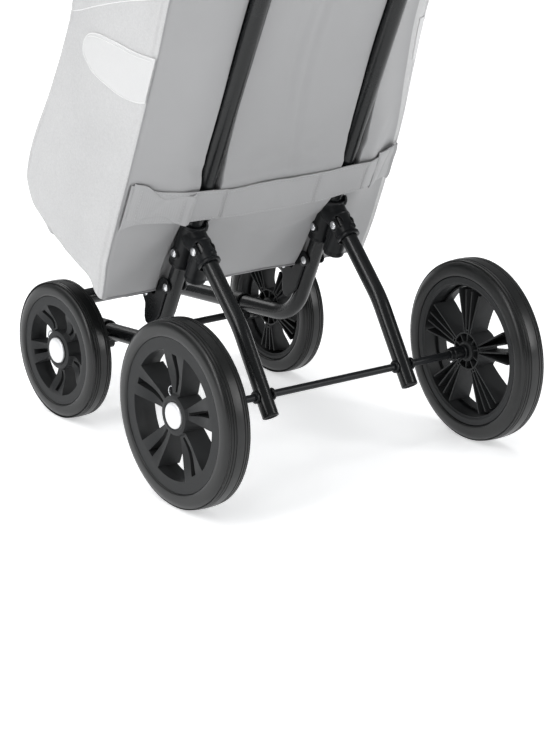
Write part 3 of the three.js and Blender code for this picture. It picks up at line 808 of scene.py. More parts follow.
# ------------------------------------------------------------ wheels
WHEELS = {
    "rear": {"radius": 100, "rim": 82, "window": 69, "clip": 54, "dish": 4.0, "up": 1},
    "front": {"radius": 76, "rim": 60, "window": 50, "clip": 18, "dish": 7.5, "up": -1},
}
SPOKES = 5
WINDOW_EDGE = 0.262                          # spoke centre to the window's flank, radians
SLOT_EDGE = 0.062                            # spoke centre to the slot's flank
WALL = 1.7                                   # thickness of the rim's thin walls
PLATE = 2.4                                  # thickness of its face plate
LEDGE = 11.0                                 # depth of the walls along the outer ends of windows and slots
BACK = 1.2                                   # how far the deep walls stop short of the inner side


def tyre_profile(wheel, half):
    """Side walls and a slightly crowned tread with three grooves on each half."""
    radius, rim = wheel["radius"], wheel["rim"]
    wall = [(half - 1.4, rim + 0.3), (half - 0.5, rim + 1.0), (half - 0.1, rim + 2.2), (half, rim + 4.5),
            (half - 0.2, radius - 9), (half - 0.7, radius - 6.4), (half - 1.7, radius - 4.2),
            (half - 3.3, radius - 2.4), (half - 5.2, radius - 1.5)]
    tread, width, depth = [], 0.85, 0.9
    for share in (0.72, 0.53, 0.34):
        at = half * share
        crown = radius - 0.008 * at * at
        tread += [(at + width, crown), (at + width * 0.6, crown - depth * 0.8), (at, crown - depth),
                  (at - width * 0.6, crown - depth * 0.8), (at - width, crown)]
    outer = wall + tread
    inner = [(-x, r) for x, r in outer[::-1]]
    return outer + [(0, radius)] + inner + [outer[0]]


def rim_face(wheel, half):
    """Depth of the rim's outer face at a radius and an angle from the spoke's middle."""
    window, dish = wheel["window"], wheel["dish"]

    def face(radius, angle):
        ring_end = window + 2
        low = smoothstep(ring_end, HUB_R + 6, radius) if radius < ring_end else 0.0
        x = half - dish * low
        if radius < HUB_R + 0.5:
            x = half - dish * 0.35 + 0.8 * bump(radius, 17.4, 3.4)
        elif radius < ring_end:
            across = (abs(angle) - SLOT_EDGE) / (WINDOW_EDGE - SLOT_EDGE)
            hollow = bump(radius, (HUB_R + window) / 2, (window - HUB_R) / 2)
            x -= 2.8 * (1 - min(max(across, 0), 1)) * hollow
        return x
    return face


def rim_mesh(wheel, half):
    """The moulded rim: a face plate with windows and slots, and thin deep walls along their edges."""
    window, rim = wheel["window"], wheel["rim"]
    slot_start, slot_end = HUB_R + 3.5, window - 3
    span = slot_end - slot_start
    radii = [CAP_R + 0.4, 15.6, 16.8, 18.2, HUB_R - WALL, HUB_R, HUB_R + 2, slot_start]
    radii += [slot_start + span * t for t in (0.12, 0.26, 0.42, 0.58, 0.74, 0.88)]
    radii += [slot_end, window, window + WALL, window + 3.6, window + 5.2, rim - 1.2, rim]
    half_turn = math.pi / SPOKES

    def angles(radius):
        strip = WALL / max(radius, HUB_R + 3)
        edge, slot = WINDOW_EDGE, SLOT_EDGE
        right = [slot * 0.5, slot, slot + strip, (slot + edge) / 2, edge - strip, edge]
        right += [edge + (half_turn - edge) * t for t in (0.2, 0.4, 0.6, 0.8)]
        return [-half_turn] + [-a for a in right[::-1]] + [0.0] + right

    stations = len(angles(HUB_R))
    face = rim_face(wheel, half)
    order = ["top", "plate", "ledge", "deep"]
    depths = {"top": 0.0, "plate": PLATE, "ledge": LEDGE}
    points, index, faces = [], {}, []

    def point(i, k, level):
        spoke, station = divmod(k % (SPOKES * stations), stations)
        key = (i, spoke, station, level)
        if key not in index:
            angle = angles(radii[i])[station]
            turn = wheel["up"] * math.pi / 2 + 2 * half_turn * spoke + angle
            x = BACK - half if level == "deep" else face(radii[i], angle) - depths[level]
            index[key] = len(points)
            points.append(Vector((x, radii[i] * math.cos(turn), radii[i] * math.sin(turn))))
        return index[key]

    def level_of(i, station):
        """How deep the cell between two radii and two angle stations is; 0 is a hole."""
        if i < 0 or i >= len(radii) - 1:
            return 0
        r = (radii[i] + radii[i + 1]) / 2
        a = angles(r)
        angle = abs((a[station] + (a[station + 1] if station + 1 < stations else half_turn)) / 2)
        strip = WALL / max(r, HUB_R + 3)
        if HUB_R < r < window and angle > WINDOW_EDGE:
            return 0
        if slot_start < r < slot_end and angle < SLOT_EDGE:
            return 0
        if HUB_R - WALL < r < HUB_R or window + 3.6 < r < window + 5.2:
            return 3
        if HUB_R < r < window and (WINDOW_EDGE - strip < angle < WINDOW_EDGE
                                   or SLOT_EDGE < angle < SLOT_EDGE + strip):
            return 3
        if slot_start - 2.5 < r < slot_start and angle < SLOT_EDGE + strip:
            return 3
        if window < r < window + WALL or (slot_end < r < window and angle < SLOT_EDGE + strip):
            return 2
        return 1

    turns = SPOKES * stations
    for i in range(len(radii) - 1):
        for k in range(turns):
            level = level_of(i, k % stations)
            if level:
                corners = ((i, k), (i + 1, k), (i + 1, k + 1), (i, k + 1))
                faces.append(tuple(point(a, b, "top") for a, b in corners))
                faces.append(tuple(point(a, b, order[level]) for a, b in corners[::-1]))
    for i in range(len(radii)):
        for k in range(turns):
            here = level_of(i, k % stations)
            borders = [(level_of(i - 1, k % stations), here, (i, k), (i, k + 1))]
            if i < len(radii) - 1:
                borders.append((level_of(i, (k - 1) % stations), here, (i, k), (i + 1, k)))
            for one, other, a, b in borders:
                for step in range(min(one, other), max(one, other)):
                    faces.append((point(*a, order[step]), point(*b, order[step]),
                                  point(*b, order[step + 1]), point(*a, order[step + 1])))
    return points, faces


def join_shapes(*shapes):
    points, faces = [], []
    for more_points, more_faces in shapes:
        base = len(points)
        points.extend(more_points)
        faces.extend(tuple(base + k for k in face) for face in more_faces)
    return points, faces


def hub_shapes(wheel, half):
    """The drum round the axle, its fins, and the flange and lip on the rim's inner side."""
    window, rim = wheel["window"], wheel["rim"]
    seat = half - CAP_SEAT
    back = -half - 1.0
    drum = [(seat, 0), (seat, CAP_R + 0.6), (seat - 2, CAP_R + 0.6), (seat - 2.5, 11.5), (back + 1, 11.0),
            (back, 10.2), (back, 0)]
    lip = [(-half + 3, rim), (-half + 0.8, rim), (-half, rim - 0.8), (-half, window + 6.4),
           (-half + 0.6, window + 5.4), (-half + 1.6, window + 3.6), (-half + 3.4, window + 3.6),
           (-half + 3, window + 6), (-half + 3, rim)]
    barrel = [(half - 1, rim - 0.2), (half - 1, rim - 2.2), (-half + 1, rim - 2.2), (-half + 1, rim - 0.2),
              (half - 1, rim - 0.2)]
    seat_ring = [(half - 1.6, CAP_R + 0.3), (half - 1.2, CAP_R + 1.6), (seat - 1, CAP_R + 1.6),
                 (seat - 1, CAP_R + 0.3), (half - 1.6, CAP_R + 0.3)]
    shapes = [lathe(profile, 96) for profile in (drum, lip, barrel, seat_ring)]
    fins, start, end, fin_half, depth = 10, 10.4, HUB_R - 0.6, 0.7, half + 4
    shift = Vector((back + 2.5 + depth / 2, 0, 0))
    for k in range(fins):
        turn = Matrix.Rotation(2 * math.pi * (k + 0.5) / fins, 3, "X")
        points, faces = plate([(start, -fin_half), (end, -fin_half), (end, fin_half), (start, fin_half)],
                              depth)
        shapes.append(([turn @ (p + shift) for p in points], faces))
    return shapes


def clip_mesh(wheel, half_width):
    """A spring wire that straddles the axle and ends in a round loop."""
    angle = math.radians(wheel["clip"])
    x = half_width - CAP_SEAT - 5
    across, loop, neck, gap = 5.4, 5.9, 19.5, 2.0
    line = [(-4, -across), (neck - 3, -across)]
    middle = neck + math.sqrt(loop ** 2 - gap ** 2)
    open_half = math.asin(gap / loop)
    for k in range(23):
        a = math.pi + open_half + 2 * (math.pi - open_half) * k / 22
        line.append((middle + loop * math.cos(a), loop * math.sin(a)))
    line += [(neck - 3, across), (-4, across)]
    path = [Vector((x, r * math.cos(angle) - a * math.sin(angle), r * math.sin(angle) + a * math.cos(angle)))
            for r, a in line]
    return sweep(densify(path, 2.0), ring(0.95, 10))


def make_wheels(rubber, plastic, silver, wire):
    """Four wheels, each a tyre, a rim, a hub cap and a spring clip."""
    for row, wheel in WHEELS.items():
        for side, s in SIDES:
            body = f"{row}_wheel_{side}"
            at = centre(f"{row}_tyre_{side}")
            half_width = size(f"{row}_tyre_{side}").x / 2
            half = half_width - 1.5

            def placed(shape):
                points, faces = shape
                return [Vector((s * p.x, p.y, p.z)) + at for p in points], faces

            tyre = placed(lathe(tyre_profile(wheel, half_width), 144))
            make_piece(f"{body}_tyre", tyre, body, rubber, "tyre_rubber", f"{row}_tyre_{side}", angle=40)
            rim = placed(join_shapes(rim_mesh(wheel, half), *hub_shapes(wheel, half)))
            make_piece(f"{body}_rim", rim, body, plastic, "wheel_plastic", f"{row}_rim_{side}", angle=30)
            seat, crown = half - CAP_SEAT, 2.4
            profile = [(seat, 0), (seat, CAP_R - 0.4), (half - 0.6, CAP_R - 0.2)]
            profile += dome_profile(half - 0.4, CAP_R - 0.4, crown, 9)
            make_piece(f"{body}_cap", placed(lathe(profile, 64)), body, silver, "cap_silver",
                       f"{row}_hub_cap_{side}")
            clip = f"{row}_clip_{side}"
            make_piece(f"{body}_spring_clip", placed(clip_mesh(wheel, half_width)), clip, wire,
                       "spring_wire", clip, angle=60)


# ------------------------------------------------------------ bag
# The curves below are in millimetres: a height u, an x or an n, and the measure there.
FOOT_U, TOP_U = 84.5, 640.0
REAR_N = 14.9                                # where the rear panel's seams lie
TUBE_CLEAR = 12.6                            # forward of this the fabric clears the tubes
REAR_LEFT_RADIUS = 6.0
FRONT_RADIUS = 15.0


def through(value, *knots):
    """A smooth curve through (place, height) knots, level beyond the ends."""
    if value <= knots[0][0]:
        return knots[0][1]
    for k in range(len(knots) - 1):
        (a, p), (b, q) = knots[k], knots[k + 1]
        if value <= b:
            before, after = knots[max(k - 1, 0)], knots[min(k + 2, len(knots) - 1)]
            t = (value - a) / (b - a)
            p_slope = (q - before[1]) / (b - before[0]) * (b - a)
            q_slope = (after[1] - p) / (after[0] - a) * (b - a)
            return (p * (2 * t ** 3 - 3 * t * t + 1) + p_slope * (t ** 3 - 2 * t * t + t)
                    + q * (3 * t * t - 2 * t ** 3) + q_slope * (t ** 3 - t * t))
    return knots[-1][1]


def left_half(u):
    return through(u, (84, 173), (110, 176.5), (135, 180.5), (254, 184.5), (330, 187.5), (400, 190.5),
                   (440, 193.5), (476, 196), (525, 194), (570, 184), (600, 174), (640, 166))


def right_half(u):
    return through(u, (84, 178), (130, 180), (250, 176), (330, 171), (400, 167), (470, 166), (560, 168),
                   (600, 167), (640, 164))


def right_radius(u):
    return through(u, (84, 6), (200, 8), (256, 9), (330, 18), (420, 27), (520, 24), (640, 18))


def front_n(u):
    return through(u, (84, 144), (95, 160), (104, 173), (115, 183), (130, 189), (175, 190), (240, 182),
                   (320, 176), (400, 176), (480, 181), (560, 187), (600, 186), (640, 180))


def flap_edge(n):
    """Height of the seam where the bag's upper part laps over its sides and front."""
    return through(n, (14, 478), (42, 456), (64, 440), (86, 423), (108, 405), (128, 388), (146, 372),
                   (163, 359), (188, 347))


def soft_noise(x, y, z, size):
    return noise.noise(Vector((x, y, z)) / size)


def fold_path(u, side):
    """The two soft creases that run up the middle of the rear panel."""
    return through(u, (225, 20), (252, 13), (300, 6), (352, 0), (404, -3), (448, -2), (600, 0)) + side


def strap_n(x):
    """Where the lower strap runs: straight behind the tubes, then in to the bag's corners."""
    return through(abs(x), (0, -12.9), (104, -12.9), (122, -10.5), (150, 3.5), (168, 11.5), (178, 14.5))


def rear_bulge(x, u):
    """How far the rear panel stands back of its seams at a place."""
    from_tube = min(abs(x - SIDE), abs(x + SIDE))
    away = smoothstep(UPPER_R + 0.2, UPPER_R + 2.0, from_tube)
    if abs(x) < SIDE:
        full = through(u, (84, 3), (110, 8), (150, 12), (200, 20), (238, 28), (262, 23), (300, 19),
                       (380, 15), (560, 13), (630, 3))
        crescent = through(x, (-76, 184), (-48, 176), (-31, 168), (-7, 158), (13, 151), (33, 152),
                           (52, 156), (77, 166))
        shelf = smoothstep(crescent - 3, crescent + 5, u) * 2.5 + 5.5 * smoothstep(crescent, 200, u)
        full += shelf * (1 - smoothstep(200, 250, u))
        edge = 1.0
    elif x < 0:
        full = through(u, (84, 1), (130, 3), (190, 13), (236, 24), (264, 19), (320, 17), (420, 14),
                       (560, 12), (630, 3))
        edge = smoothstep(0, 66, x + left_half(u))
    else:
        full = through(u, (84, 1), (130, 4), (190, 14), (250, 25), (320, 18), (420, 14), (560, 11),
                       (630, 3))
        edge = smoothstep(0, 50, right_half(u) - right_radius(u) - x)
    near = (REAR_N - TUBE_CLEAR) * smoothstep(120, 200, u)
    out = near * (1 - away) + full * away * edge
    if abs(x) < 70 and u > 216:
        fade = smoothstep(216, 250, u) * (1 - smoothstep(480, 600, u))
        for side, depth in ((0, 1.3), (-17, 0.8)):
            gap = (x - fold_path(u, side)) / 4.0
            out -= fade * depth * math.exp(-gap * gap)
            out += fade * depth * 0.6 * math.exp(-((gap - 1.7) ** 2) * 0.7)
    wrinkle = (soft_noise(x + 0.35 * u, u * 0.3, 3.0, 40.0) * 1.1
               + soft_noise(x * 2.0, u * 0.5, 9.0, 70.0) * 1.3)
    lower = bump(u, 128, 60) * smoothstep(96, 130, abs(x))
    wrinkle += lower * 3.2 * soft_noise(x * 1.5 - u * 1.2, u + x * 0.4, 21.0, 46.0)
    wrinkle += 2.2 * bump(u, 262, 34) * soft_noise(x * 1.4 + u, u * 1.5, 27.0, 24.0)
    out += wrinkle * away * edge
    behind_strap = smoothstep(178, 192, u) * (1 - smoothstep(237, 247, u))
    limit = REAR_N - strap_n(x) - 1.5
    return out + behind_strap * (min(out, limit) - out)


def side_bulge(n, u, s):
    """How far a side panel stands outside its seams."""
    along = min(max((n - REAR_N) / (front_n(u) - REAR_N), 0), 1)
    full = math.sin(math.pi * along) ** 0.8
    out = (5.5 if s < 0 else 5.0) * full * smoothstep(84, 170, u)
    out -= 9 * (1 - smoothstep(84, 106, u)) * smoothstep(0.04, 0.35, along)
    out += full * (1.8 * soft_noise(n * 1.2, u * 0.5, 40 + 7 * s, 55.0)
                   + 0.7 * soft_noise(n, u, 60.0, 16.0))
    return out + lap(n, u)


def lap(n, u):
    """The upper part of the sides and front lies a fabric's thickness over the lower part."""
    edge = flap_edge(n)
    return 1.4 * smoothstep(edge - 1.2, edge + 1.2, u) - 0.5 * bump(u, edge - 3, 5)


def front_bulge(x, u):
    """How far the front panel stands ahead of its seams."""
    across = min(abs(x) / 160, 1)
    full = (1 - across * across) * smoothstep(90, 170, u) * (1 - 0.4 * smoothstep(480, 640, u))
    out = 4.5 * full + full * (2.0 * soft_noise(x * 0.7, u * 0.4, 80.0, 50.0)
                               + 0.7 * soft_noise(x, u, 90.0, 16.0))
    return out + lap(190, u)


CORNER_STEPS = 8
FROM_TUBE = (0.5, 3, 5.5, 7.5, 9, 10, *(UPPER_R + 0.4 * k for k in range(8)), 15, 17, 19, 21)
TUBE_EDGE = sorted(s * d for s in (-1, 1) for d in FROM_TUBE)
BETWEEN = [-58.5 + 4.5 * k for k in range(27)]
REAR_X = [-SIDE + d for d in TUBE_EDGE] + BETWEEN + [SIDE + d for d in TUBE_EDGE]
OUTER_STEPS = 15
PANELS = (("rear", 2 * OUTER_STEPS + len(REAR_X)), ("rear_right", CORNER_STEPS), ("right", 40),
          ("front_right", 9), ("front", 56), ("front_left", 9), ("left", 44), ("rear_left", CORNER_STEPS))


def rear_x(k, first, last):
    """The x of the k-th point across the rear panel, closer together beside the tubes."""
    if k < OUTER_STEPS:
        return first + (REAR_X[0] - first) * k / OUTER_STEPS
    k -= OUTER_STEPS
    if k < len(REAR_X):
        return REAR_X[k]
    return REAR_X[-1] + (last - REAR_X[-1]) * (k - len(REAR_X) + 1) / (OUTER_STEPS + 1)


def bag_ring(u):
    """Points round the bag at one height: the panel, the share along it, x and n."""
    left, right, front = -left_half(u), right_half(u), front_n(u)
    rl, rr, rf = REAR_LEFT_RADIUS, right_radius(u), FRONT_RADIUS
    quarter = math.pi / 2
    ends = {"rear": ((left + rl, REAR_N), (right - rr, REAR_N)),
            "right": ((right, REAR_N + rr), (right, front - rf)),
            "front": ((right - rf, front), (left + rf, front)),
            "left": ((left, front - rf), (left, REAR_N + rl))}
    corners = {"rear_right": (right - rr, REAR_N + rr, rr, -quarter),
               "front_right": (right - rf, front - rf, rf, 0),
               "front_left": (left + rf, front - rf, rf, quarter),
               "rear_left": (left + rl, REAR_N + rl, rl, 2 * quarter)}
    normals = {"rear": (0, -1), "right": (1, 0), "front": (0, 1), "left": (-1, 0)}
    ring_points = []
    for panel, count in PANELS:
        for k in range(count):
            t = k / count
            if panel in ends:
                (x0, n0), (x1, n1) = ends[panel]
                x = rear_x(k, x0, x1) if panel == "rear" else x0 + (x1 - x0) * t
                n = n0 + (n1 - n0) * t
                normal = normals[panel]
            else:
                cx, cn, radius, start = corners[panel]
                a = start + quarter * t
                normal = (math.cos(a), math.sin(a))
                x, n = cx + radius * normal[0], cn + radius * normal[1]
            if panel == "rear":
                out = rear_bulge(x, u)
            elif panel == "front":
                out = front_bulge(x, u)
            elif panel in ("front_right", "front_left"):
                s = 1 if panel == "front_right" else -1
                side_share = 1 - t if s > 0 else t
                out = side_share * side_bulge(front - rf, u, s) + (1 - side_share) * front_bulge(x, u)
            elif panel in ("left", "right"):
                out = side_bulge(n, u, -1 if panel == "left" else 1)
            else:
                out = 0.0
            ring_points.append((panel, t, x + normal[0] * out, n + normal[1] * out))
    return ring_points


def foot_rise(x):
    """How much the foot of the rear panel is drawn up."""
    return 2.5 * bump(x, -12, 160)


def set_cloth(obj, values):
    """Cloth coordinates in millimetres: across the weave and along it."""
    attribute = obj.data.attributes.new("cloth", "FLOAT_VECTOR", "POINT")
    attribute.data.foreach_set("vector", [c for value in values for c in value])


def make_bag(grey, pale):
    """One skin, open at the top: grey rear panel and foot, pale sides and front."""
    levels, middle = 125, 90
    rows = [FOOT_U + (TOP_U - FOOT_U) * (k / (levels - 1)) ** 1.1 for k in range(levels)]
    count = sum(steps for _, steps in PANELS)
    points, cloth = [], []
    for shrink, u in ((0.0, 86.5), (0.55, 85.5), (0.90, 84.6)):
        for _, _, x, n in bag_ring(FOOT_U):
            points.append(lean(x * shrink, middle + (n - middle) * shrink, u))
            cloth.append((x * shrink, n, 0))
    first = len(points) // count
    for u in rows:
        for panel, _, x, n in bag_ring(u):
            points.append(lean(x, n, u + foot_rise(x) * bump(u, FOOT_U, 14) * (panel == "rear")))
            cloth.append((n if panel in ("left", "right") else x, u, 0))
    rear_side = [panel == "rear" or (panel == "rear_left" and k / steps >= 0.5)
                 for panel, steps in PANELS for k in range(steps)]
    rings = len(points) // count
    bag = new_object("soft_bag", points, ring_faces(count, rings))
    bag.data.materials.append(grey)
    bag.data.materials.append(pale)
    kinds = [int(j >= first and not rear_side[i]) for j in range(rings - 1) for i in range(count)]
    bag.data.polygons.foreach_set("material_index", kinds)
    set_cloth(bag, cloth)
    bag.data.shade_smooth()
    thicken(bag, 2.2, -1)
    finish_piece(bag, "frame", None, "bag_fabric", "bag")


def surface_left(n, u, out):
    """A point on the bag's left side, moved out from it."""
    return lean(-left_half(u) - side_bulge(n, u, -1) - out, n, u)


def surface_right(n, u, out):
    """A point on the bag's right side and rounded rear corner, moved out from it."""
    radius = right_radius(u)
    short = max(REAR_N + radius - n, 0.0)
    corner = radius - math.sqrt(max(radius ** 2 - short ** 2, 0.0))
    return lean(right_half(u) - corner + side_bulge(n, u, 1) + out, n, u)


def make_cord_trim(name, line, radius, material, slot, body="frame"):
    """Round piping sewn along a line."""
    make_piece(name, pipe(densify(line, 6.0), radius, 8, radius * 0.4), body, material, slot, angle=60)


def make_piping(pale, grey):
    """Sewn piping down the rear corners, round the foot and along the lapped seam."""
    heights = [FOOT_U + 1 + (TOP_U - 6 - FOOT_U) * k / 90 for k in range(91)]
    left, right = [], []
    for u in heights:
        ring_points = bag_ring(u)
        a = next(p for p in ring_points if p[0] == "rear_left" and p[1] > 0.5)
        b = next(p for p in ring_points if p[0] == "rear_right" and p[1] > 0.4)
        left.append(lean(a[2] - 0.2, a[3] - 0.2, u))
        right.append(lean(b[2] + 0.4, b[3] - 0.3, u))
    make_cord_trim("left_corner_piping", left, 0.5, grey, "bag_fabric")
    make_cord_trim("right_corner_piping", right, 1.2, pale, "bag_fabric")
    span = [30 + (front_n(350) - FRONT_RADIUS - 30) * k / 24 for k in range(25)]
    for name, surface in (("left_lap_piping", surface_left), ("right_lap_piping", surface_right)):
        make_cord_trim(name, [surface(n, flap_edge(n), 0.0) for n in span], 0.7, pale, "bag_fabric")
    edge = [lean(x, n, FOOT_U + 0.6 + foot_rise(x)) for panel, _, x, n in bag_ring(FOOT_U + 1.5)
            if panel == "rear"]
    make_cord_trim("foot_piping", edge, 1.1, grey, "bag_fabric")


def curve_points(knots, steps):
    """Points along a smooth curve through knots."""
    knots = [Vector(k) for k in knots]
    out = []
    for k in range(steps + 1):
        place = k / steps * (len(knots) - 1)
        i = min(int(place), len(knots) - 2)
        t = place - i
        a, b, c, d = (knots[min(max(i + o, 0), len(knots) - 1)] for o in (-1, 0, 1, 2))
        out.append(0.5 * (2 * b + (c - a) * t + (2 * a - 5 * b + 4 * c - d) * t * t
                          + (3 * b - a - 3 * c + d) * t ** 3))
    return out


# The side patch's outline (n, u), from its upper end at the rear seam round to its lower end.
PATCH_EDGE = ((16, 399), (26.5, 395), (45.5, 388), (70.5, 381), (94.5, 373.5), (109.5, 367), (120.5, 360),
              (127, 351), (129, 341), (125.5, 332.5), (116.5, 328.5), (101.5, 325), (73.5, 326), (49.5, 330),
              (27.5, 338), (16, 345))
UPPER_SHARE = 0.42                           # share of the outline that the second piping follows


def make_patch(pad, pale):
    """A flat leaf-shaped panel on each side, sewn into the rear corner seam, edged with piping."""
    edge = curve_points(PATCH_EDGE, 84)
    outline = edge + [edge[-1] + (edge[0] - edge[-1]) * k / 10 for k in range(1, 10)]
    middle = Vector((62, 362))
    rings = (1.0, 0.985, 0.96, 0.9, 0.78, 0.6, 0.4, 0.2, 0.0)
    for side, surface in (("left", surface_left), ("right", surface_right)):
        points, cloth = [], []
        for share in rings:
            rise = 0.35 + 0.6 * (1 - share ** 8) + 0.5 * (1 - share)
            for p in outline:
                q = middle + (p - middle) * share
                points.append(surface(q.x, q.y, rise))
                cloth.append((q.x, q.y, 0))
        patch = new_object(f"side_patch_{side}", points, ring_faces(len(outline), len(rings)))
        set_cloth(patch, cloth)
        clean(patch, 70)
        thicken(patch, 0.9)
        finish_piece(patch, "frame", pad, "lid_fabric")
        upper = [p + Vector((0.6, -4.0)) for p in edge[3:int(len(edge) * UPPER_SHARE)]]
        for name, along, rise, radius in (("piping", edge, 0.7, 0.8), ("upper_piping", upper, 1.3, 0.55)):
            line = [surface(p.x, p.y, rise) for p in along]
            make_cord_trim(f"side_patch_{name}_{side}", line, radius, pale, "lid_fabric")


def stitch_row(name, line, material, slot="bag_fabric", body="frame", pitch=3.0, length=2.0, radius=0.3):
    """Thread stitches laid along a line, made as one piece."""
    line = densify(line, 1.2)
    walked, shapes, start = 0.0, [], line[0]
    for a, b in zip(line, line[1:]):
        walked += (b - a).length
        if walked >= pitch:
            direction = (b - start).normalized()
            shapes.append(sweep([start, start + direction * length * 0.5, start + direction * length],
                                ring(radius, 6)))
            start, walked = b, 0.0
    make_piece(name, join_shapes(*shapes), body, material, slot, angle=60)


def finish_board(material):
    """The shelf board keeps its shape and gets softened edges and its own plastic."""
    board = bpy.data.objects["base_board"]
    board.data.materials.clear()
    board.data.materials.append(material)
    bevel(board, 0.8, 2, 40)


# ------------------------------------------------------------ bands
STRAP_SEAMS = (-SIDE - 22, -SIDE + 20, SIDE - 42, SIDE + 22)


def make_webbing(name, across, up, place, yarn, thickness, edge, webbing, *nodes):
    """A sheet of webbing laid by place(s, t), with rounded edges; yarn is its cloth's step each way."""
    band = new_object(name, *grid_sheet(across, up, place))
    set_cloth(band, [((k % across) * yarn[0], (k // across) * yarn[1], 0) for k in range(across * up)])
    band.data.shade_smooth()
    thicken(band, thickness)
    bevel(band, edge, 2, 50)
    finish_piece(band, "frame", webbing, "bag_fabric", *nodes)


def make_strap(name, node_name, foot, top, low_x, high_x, webbing, thread, sag=1.0):
    """Webbing that runs straight behind both tubes, with its seams and edge stitching."""
    rows, steps, edge, proud = 10, 120, 0.9, 0.9
    step = (high_x - low_x) / steps

    def place(i, j, lift=0.0):
        x = low_x + (high_x - low_x) * i / steps
        v = j / rows
        pucker = sag * (0.9 * soft_noise(x, v * 40, 5.0, 30.0) + 0.5 * soft_noise(x, v * 25, 15.0, 12.0))
        flat = smoothstep(15, 26, min(abs(x - SIDE), abs(x + SIDE)))
        seam = max(math.exp(-((x - s) / 1.3) ** 2) for s in STRAP_SEAMS)
        hem = edge * (smoothstep(0.0, 0.12, v) * (1 - smoothstep(0.88, 1.0, v)))
        n = strap_n(x) - (pucker + 0.4) * flat - hem * 0.5 + seam * 0.9 - lift
        return lean(x, n, foot(x) + (top(x) - foot(x)) * v)

    make_webbing(name, steps + 1, rows + 1, lambda s, t: place(s * steps, t * rows), (step, 4), 1.5, 0.4,
                 webbing, node_name)
    for label, x in zip("abcd", STRAP_SEAMS):
        for turn, shift in (("near", -1.9), ("far", 1.9)):
            i = (x + shift - low_x) / step
            line = [place(i, 0.6 + 8.8 * k / 10, proud) for k in range(11)]
            stitch_row(f"{name}_seam_{label}_{turn}", line, thread)
    for label, j in (("foot", 0.7), ("top", rows - 0.7)):
        line = [place(i, j, proud) for i in range(3, steps - 2)]
        stitch_row(f"{name}_{label}_stitches", line, thread, pitch=3.4, length=2.3)


def lower_top(x):
    return through(x, (-179, 239), (-166, 237), (-150, 234), (-120, 238), (-92, 237), (-60, 234), (-20, 236),
                   (20, 235), (60, 235), (92, 237), (120, 236), (150, 232), (178, 226))


def lower_foot(x):
    return through(x, (-179, 177), (-167, 186), (-153, 191), (-120, 198), (-92, 198), (-60, 195), (-20, 194),
                   (20, 193), (60, 194), (92, 198), (120, 198), (150, 195), (178, 190))


def make_tab(name, x0, x1, top, foot, webbing, thread):
    """A folded tab of webbing with a waisted outline, stitched over a band's end."""
    across, up = 30, 14

    def place(s, t, lift=0.0):
        x = x0 + (x1 - x0) * s
        u = foot(s) + (top(s) - foot(s)) * t
        rounding = 1.2 * (bump(s, 0, 0.06) + bump(s, 1, 0.06) + bump(t, 0, 0.1) + bump(t, 1, 0.1))
        fold = 1.5 * math.exp(-((s - 0.93) / 0.04) ** 2) - 0.7 * math.exp(-((s - 0.83) / 0.03) ** 2)
        crease = 0.8 * math.exp(-((s - 0.3 - 0.25 * t) / 0.05) ** 2)
        return lean(x, strap_n(x) - 2.6 - fold + crease + rounding - soft_noise(x, u, 33.0, 16.0) - lift, u)

    make_webbing(name, across, up, place, (2.2, 3), 1.8, 0.5, webbing)
    for label, s in (("inner", 0.8), ("outer", 0.12)):
        line = [place(s, 0.08 + 0.84 * k / 8, 1.1) for k in range(9)]
        stitch_row(f"{name}_{label}_stitches", line, thread)


def make_bands(webbing, thread):
    make_strap("lower_webbing_band", "lower_band", lower_foot, lower_top, -177, 173, webbing, thread)
    make_tab("left_band_tab", -174, -111,
             lambda s: through(s, (0, 241), (0.22, 239), (0.5, 227), (0.75, 232), (1, 237)),
             lambda s: through(s, (0, 193), (0.25, 196), (0.45, 204), (0.6, 205), (0.8, 197), (1, 195)),
             webbing, thread)
    make_tab("right_band_tab", 134, 173,
             lambda s: through(s, (0, 240), (0.5, 236), (1, 234)),
             lambda s: through(s, (0, 193), (0.5, 196), (1, 188)), webbing, thread)
    make_strap("upper_webbing_band", "upper_band", lambda x: 594.5, lambda x: 629.5, -150, 150, webbing,
               thread, 0.6)


# ------------------------------------------------------------ lid
LID_HALF, LID_REAR, LID_FRONT = 179, 18.2, 200
LID_FOOT, LID_TOP, LID_CROWN = 597, 643, 6.0


def lid_ring(inset):
    """Points (x, n) of the lid's outline, drawn in by an inset."""
    half, rear, front = LID_HALF - inset, LID_REAR + inset * 0.6, LID_FRONT - inset
    low_r, high_r, corner_steps, side_steps = 7.0, 30.0, 8, 30
    quarter = math.pi / 2
    corners = ((half - low_r, rear + low_r, low_r, -quarter), (half - high_r, front - high_r, high_r, 0),
               (high_r - half, front - high_r, high_r, quarter),
               (low_r - half, rear + low_r, low_r, 2 * quarter))
    out = []
    for (cx, cn, radius, start), (nx, nn, nr, nstart) in zip(corners, corners[1:] + corners[:1]):
        for k in range(corner_steps + 1):
            a = start + quarter * k / corner_steps
            out.append((cx + radius * math.cos(a), cn + radius * math.sin(a)))
        end, begin = out[-1], (nx + nr * math.cos(nstart), nn + nr * math.sin(nstart))
        for k in range(1, side_steps):
            t = k / side_steps
            out.append((end[0] + (begin[0] - end[0]) * t, end[1] + (begin[1] - end[1]) * t))
    return out


